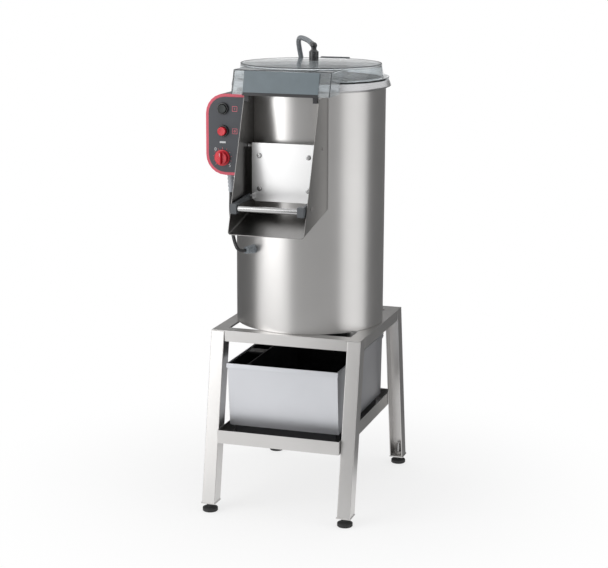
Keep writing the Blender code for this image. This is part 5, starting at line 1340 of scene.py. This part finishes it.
def printed(name, x, z, wide, tall):
    """A raised mark on the control face about a middle point."""
    face = extent("control_face").low.y
    return block(
        name, (x - wide / 2, face - PRINT_RELIEF, z - tall / 2),
        (x + wide / 2, face + PRINT_RELIEF, z + tall / 2))


def turned_about(thing, x, z, turn):
    """Turn a mark in the control face's plane about a point."""
    thing.matrix_world = (
        Matrix.Translation((x, 0, z)) @ Matrix.Rotation(turn, 4, "Y") @ Matrix.Translation((-x, 0, -z)))
    return settle(thing)


def digits(name, words, x, z):
    """A number on the control face."""
    clear_selection()
    bpy.ops.object.text_add(location=(0, 0, 0))
    text = bpy.context.object.data
    text.body = words
    text.size = sizes().digit
    text.align_x = "CENTER"
    text.align_y = "CENTER"
    text.extrude = FIT * 0.3
    bpy.ops.object.convert(target="MESH")
    face = extent("control_face").low.y
    bpy.context.object.matrix_world = Matrix.Translation((x, face, z)) @ Matrix.Rotation(pi / 2, 4, "X")
    return named(name)


def button_marks(word):
    """The outlined square beside a button, with its upright bar for start or its ring for stop."""
    small = sizes()
    line = small.mark
    bezel = extent(f"{word}_bezel")
    x = bezel.high.x + small.icon * 1.25
    z = bezel.middle.z
    half = small.icon / 2
    sides = (
        (small.icon, line, 0, half), (small.icon, line, 0, -half), (line, small.icon, half, 0),
        (line, small.icon, -half, 0))
    marks = [
        printed(f"{word}_square_{step}", x + dx, z + dz, wide, tall)
        for step, (wide, tall, dx, dz) in enumerate(sides)]
    sign = small.icon * 0.42
    if word == "start":
        return marks + [printed(f"{word}_sign", x, z, line, sign)]
    face = extent("control_face").low.y
    return marks + [turned(f"{word}_sign", [
        (sign / 2 - line, -PRINT_RELIEF), (sign / 2, -PRINT_RELIEF), (sign / 2, PRINT_RELIEF),
        (sign / 2 - line, PRINT_RELIEF)], (x, face, z), (x, face - 1, z), ROUND_STEPS)]


def build_marks():
    """The squares beside the buttons, the scale and the numbers round the knob, and the pale bar over it."""
    small = sizes()
    line = small.mark
    reds = button_marks("start") + button_marks("stop")
    _, high, middle, size = extent("timer_knob")
    scale = size.x / 2 + line * 4
    for tick in range(TICKS):
        turn = SCALE_START + SCALE_SPAN * tick / (TICKS - 1)
        long = line * (LONG_TICK if tick % 5 == 0 else SHORT_TICK)
        mark = printed(f"tick_{tick}", middle.x, middle.z + scale, line, long)
        reds.append(turned_about(mark, middle.x, middle.z, turn))
    added(together("red_print", reds), "marks", "control_face")
    number_place = scale + small.digit * 0.30
    for words, turn in NUMBER_TURNS:
        place_x = middle.x + number_place * sin(turn)
        place_z = middle.z + number_place * cos(turn)
        added(digits(f"scale_number_{words}", words, place_x, place_z), "print", "control_face")
    plain = printed("plain_bar", middle.x + line, high.z + small.icon * 1.5, small.icon * 1.3, line * 5)
    added(plain, "print", "control_face")


def gland(name, foot, tip, wide, narrow, ribs=5):
    """A ribbed cable gland from its foot to its tip."""
    long = (Vector(tip) - Vector(foot)).length
    profile = [(0, 0), (wide, 0)]
    pitch = long / ribs
    for rib in range(ribs):
        radius = wide + (narrow - wide) * rib / (ribs - 1)
        start = rib * pitch
        profile += [(radius * out, start + pitch * along) for out, along in RIB_SHAPE]
    profile += [(narrow * RIB_SHAPE[-1][0], long - FIT), (0, long)]
    return turned(name, profile, foot, tip, ROUND_STEPS)


def build_cable():
    """The two glands and the control cable between them."""
    cable_radius = sizes().cable_radius
    low, high, middle, size = extent("box_gland")
    top = Vector((middle.x, middle.y, low.z))
    under = gland(
        "casing_gland", (middle.x, middle.y, high.z), top, size.x / 2, cable_radius * CASING_GLAND_TIP)
    done(under, "grey", "box_gland")
    base = extent("control_box").low.z
    places = [AXIS + Vector((x, y, base + rise)) for x, y, rise in CABLE_POINTS]
    points = points_of("drum_gland")
    seated = [
        point for point in points if hypot(point.x - AXIS.x, point.y - AXIS.y) < DRUM_RADIUS + FIT * 4]
    foot = sum(seated, Vector()) / len(seated)
    way = (foot - Vector((AXIS.x, AXIS.y, foot.z))).normalized()
    end = foot + way * max((point - foot).dot(way) for point in points)
    wide, narrow = (cable_radius * share for share in DRUM_GLAND_SHARES)
    done(gland("drum_gland_boot", foot, end, wide, narrow), "pale", "drum_gland")
    straight = [end + way * (FIT + steps * cable_radius) for steps in (2, 1, 0)]
    route = smooth_route([top - Vector((0, 0, FIT))] + places + straight, ROUTE_STEPS)
    done(tube("cable_run", route, cable_radius), "black", "control_cable", smooth=TUBE_ANGLE)


def build_controls():
    """Casing, buttons, knob, printed marks, glands and cable."""
    build_casing()
    build_buttons()
    build_knob()
    build_marks()
    build_cable()


# Stage


LAMP_AIM = 0.6
CARD_STEPS = 12


def round_the_machine(turn, distance, height):
    """A place at a turn in radians round the machine."""
    return AXIS + Vector((sin(turn) * distance, -cos(turn) * distance, height))


def lamp(name, azimuth, height, distance, width, tall, radiance, glossy=True):
    """A softbox at a turn round the machine, facing its middle."""
    place = round_the_machine(radians(azimuth), distance, height)
    clear_selection()
    bpy.ops.object.light_add(type="AREA", location=place)
    light = bpy.context.object
    light.name = name
    light.data.shape = "RECTANGLE"
    light.data.size = width
    light.data.size_y = tall
    light.data.energy = radiance * pi * width * tall
    aim = AXIS + Vector((0, 0, LAMP_AIM)) - place
    light.rotation_euler = aim.to_track_quat("-Z", "Y").to_euler()
    light.visible_glossy = glossy


def card(name, first, last, level, distance=1.1, low=0.0, high=2.2, spread=1.0):
    """A grey card bent round the machine, which only polished surfaces see. Its top can spread out."""
    thing = drawn(name, [
        round_the_machine(radians(first + (last - first) * step / CARD_STEPS), distance, low)
        for step in range(CARD_STEPS + 1)])
    with editing(thing):
        bpy.ops.mesh.select_all(action="SELECT")
        bpy.ops.mesh.extrude_region_move(TRANSFORM_OT_translate={"value": (0, 0, high - low)})
        bpy.ops.transform.resize(value=(spread, spread, 1), center_override=AXIS)
    made, tree = new_material(name)
    tree.nodes.clear()
    out = tree.nodes.new("ShaderNodeOutputMaterial")
    glow = shader_node(tree, "ShaderNodeEmission", Color=(level, level, level, 1))
    tree.links.new(glow.outputs["Emission"], out.inputs["Surface"])
    thing.data.materials.append(made)
    thing.visible_camera = False
    thing.visible_diffuse = False
    thing.visible_transmission = False
    thing.visible_shadow = False


def build_world(ambient):
    """White where it is seen, softer where it lights."""
    world = bpy.data.worlds.new("studio")
    bpy.context.scene.world = world
    world.use_nodes = True
    tree = world.node_tree
    back = tree.nodes["Background"]
    back.inputs["Color"].default_value = (1, 1, 1, 1)
    path = tree.nodes.new("ShaderNodeLightPath")
    total = path.outputs["Is Camera Ray"]
    for ray in ("Is Glossy Ray", "Is Transmission Ray"):
        most = tree.nodes.new("ShaderNodeMath")
        most.operation = "MAXIMUM"
        tree.links.new(total, most.inputs[0])
        tree.links.new(path.outputs[ray], most.inputs[1])
        total = most.outputs[0]
    step = shader_node(tree, "ShaderNodeMapRange", To_Min=ambient, To_Max=1.0)
    tree.links.new(total, step.inputs["Value"])
    tree.links.new(step.outputs["Result"], back.inputs["Strength"])


FLOOR_RADIUS = 14
FLOOR_DROP = 0.0005
# Where the floor starts to turn white and where it is all white, and its white share under the machine
FLOOR_FADE = (0.2, 1.0)
FLOOR_WHITE = 0.68


def build_floor():
    """A pale floor that turns to white away from the machine and keeps its shadow."""
    clear_selection()
    bpy.ops.mesh.primitive_circle_add(
        vertices=96, radius=FLOOR_RADIUS, fill_type="NGON", location=(0, 0, -FLOOR_DROP))
    floor = named("studio_floor")
    made, tree, shader = new_finish("studio_floor", (0.93, 0.93, 0.93), 0.9, 0.0)
    shader.inputs["Specular IOR Level"].default_value = 0.0
    glow = tree.nodes.new("ShaderNodeEmission")
    mix = tree.nodes.new("ShaderNodeMixShader")
    place = tree.nodes.new("ShaderNodeTexCoord")
    far = tree.nodes.new("ShaderNodeVectorMath")
    far.operation = "LENGTH"
    fade = shader_node(
        tree, "ShaderNodeMapRange", From_Min=FLOOR_FADE[0], From_Max=FLOOR_FADE[1], To_Min=FLOOR_WHITE)
    fade.interpolation_type = "SMOOTHSTEP"
    tree.links.new(place.outputs["Object"], far.inputs[0])
    tree.links.new(far.outputs["Value"], fade.inputs["Value"])
    tree.links.new(fade.outputs["Result"], mix.inputs["Fac"])
    tree.links.new(shader.outputs["BSDF"], mix.inputs[1])
    tree.links.new(glow.outputs["Emission"], mix.inputs[2])
    tree.links.new(mix.outputs["Shader"], tree.nodes["Material Output"].inputs["Surface"])
    floor.data.materials.append(made)


def build_camera(stage):
    """The camera at the photograph's place."""
    back = Vector((
        sin(stage.azimuth) * cos(stage.elevation), -cos(stage.azimuth) * cos(stage.elevation),
        sin(stage.elevation)))
    clear_selection()
    bpy.ops.object.camera_add(location=AXIS + Vector((0, 0, stage.aim_height)) + back * stage.distance)
    camera = bpy.context.object
    camera.name = "photograph_view"
    turn = (-back).to_track_quat("-Z", "Y").to_matrix() @ Matrix.Rotation(stage.roll, 3, "Z")
    camera.rotation_euler = turn.to_euler()
    camera.data.lens = stage.lens
    camera.data.sensor_width = 36
    camera.data.shift_x = stage.shift
    bpy.context.scene.camera = camera


# Lamps: name, stage value of the radiance, turn, height, distance, width, height of the box, seen in gloss
LAMPS = [
    ("key_softbox", "key", -39.5, 1.25, 2.0, 1.5, 2.1, True),
    ("side_softbox", "side", 84, 1.1, 2.0, 1.0, 2.2, False),
    ("top_softbox", "top", 10, 3.0, 0.3, 2.0, 2.0, False),
]
# Cards: name, first and last turn, level, and what differs from an upright card all the way up
CARDS = [
    ("front_card", -11, 62, 0.41, {}),
    ("bright_card", 70, 95, 1.15, {}),
    ("right_card", 106, 172, 0.15, {"low": 0.1, "high": 1.2}),
    ("low_right_card", 100, 200, 0.16, {"distance": 0.72, "high": 0.24}),
    ("floor_card", 95, 185, 0.20, {"distance": 0.36, "low": 0.001, "high": 0.002, "spread": 2.0}),
    ("back_card", 172, 218, 0.16, {"low": 0.1, "high": 0.78}),
    ("high_back_card", 172, 218, 0.35, {"low": 0.78, "high": 1.0}),
    ("lid_low_card", 165, 230, 0.7, {"low": 1.16, "high": 1.20}),
    ("lid_mid_card", 165, 230, 0.45, {"low": 1.20, "high": 1.25}),
    ("lid_high_card", 165, 230, 0.25, {"low": 1.25, "high": 1.7}),
    ("left_card", -142, -66, 0.12, {"high": 1.0}),
]


def build_stage():
    """Camera, floor, surroundings, softboxes and grey cards."""
    scene = bpy.context.scene
    scene.view_settings.view_transform = "Standard"
    stage = scene.peeler_stage
    build_camera(stage)
    build_world(stage.ambient)
    build_floor()
    for name, radiance, azimuth, height, distance, width, tall, glossy in LAMPS:
        lamp(name, azimuth, height, distance, width, tall, getattr(stage, radiance), glossy)
    for name, first, last, level, shape in CARDS:
        card(name, first, last, level, **shape)


# Operators


class PeelerOperator:
    """What every operator of the peeler shares."""

    bl_options = {"REGISTER", "UNDO"}
    work = None

    def execute(self, context):
        """Build the pieces."""
        type(self).work()
        return {"FINISHED"}


def operator_for(name, label, work):
    """An operator class for one group of pieces."""
    return type(f"PEELER_OT_{name}", (PeelerOperator, bpy.types.Operator), {
        "bl_idname": f"peeler.{name}", "bl_label": label, "__doc__": work.__doc__,
        "work": staticmethod(work)})


STEPS = [
    ("finishes", "Finishes", make_finishes), ("stage", "Stage", build_stage),
    ("stand", "Stand", build_stand), ("feet", "Levelling feet", build_feet),
    ("filter_box", "Filter box", build_filter_box), ("drum", "Drum", build_drum),
    ("drive", "Plate and drive", build_drive), ("chute", "Chute", build_chute),
    ("door", "Door", build_door), ("handle", "Door handle", build_handle), ("lid", "Lid", build_lid),
    ("lid_hinge", "Lid hinge", build_lid_hinge), ("water", "Water feed", build_water),
    ("controls", "Controls", build_controls),
]
OPERATORS = [operator_for(*step) for step in STEPS]


class PEELER_PT_looks(bpy.types.Panel):
    """Sizes, colours and build steps in the sidebar."""

    bl_label = "Potato peeler"
    bl_idname = "PEELER_PT_looks"
    bl_space_type = "VIEW_3D"
    bl_region_type = "UI"
    bl_category = "Peeler"

    def draw(self, context):
        """List the settings and the steps."""
        for group in (context.scene.peeler_sizes, context.scene.peeler_colours, context.scene.peeler_stage):
            column = self.layout.column(align=True)
            for name in group.bl_rna.properties.keys():
                if name not in ("rna_type", "name"):
                    column.prop(group, name)
        for name, label, work in STEPS:
            self.layout.operator(f"peeler.{name}", text=label)


CLASSES = [PeelerColours, PeelerSizes, PeelerStage, *OPERATORS, PEELER_PT_looks]


def register():
    """Register the classes and the settings."""
    for made in CLASSES:
        bpy.utils.register_class(made)
    bpy.types.Scene.peeler_colours = bpy.props.PointerProperty(type=PeelerColours)
    bpy.types.Scene.peeler_sizes = bpy.props.PointerProperty(type=PeelerSizes)
    bpy.types.Scene.peeler_stage = bpy.props.PointerProperty(type=PeelerStage)


def unregister():
    """Remove the settings and the classes."""
    for name in ("peeler_stage", "peeler_sizes", "peeler_colours"):
        delattr(bpy.types.Scene, name)
    for made in reversed(CLASSES):
        bpy.utils.unregister_class(made)


def main():
    """Run every step in order and write the two boxes."""
    register()
    for name, label, work in STEPS:
        getattr(bpy.ops.peeler, name)()


if __name__ == "__main__":
    main()
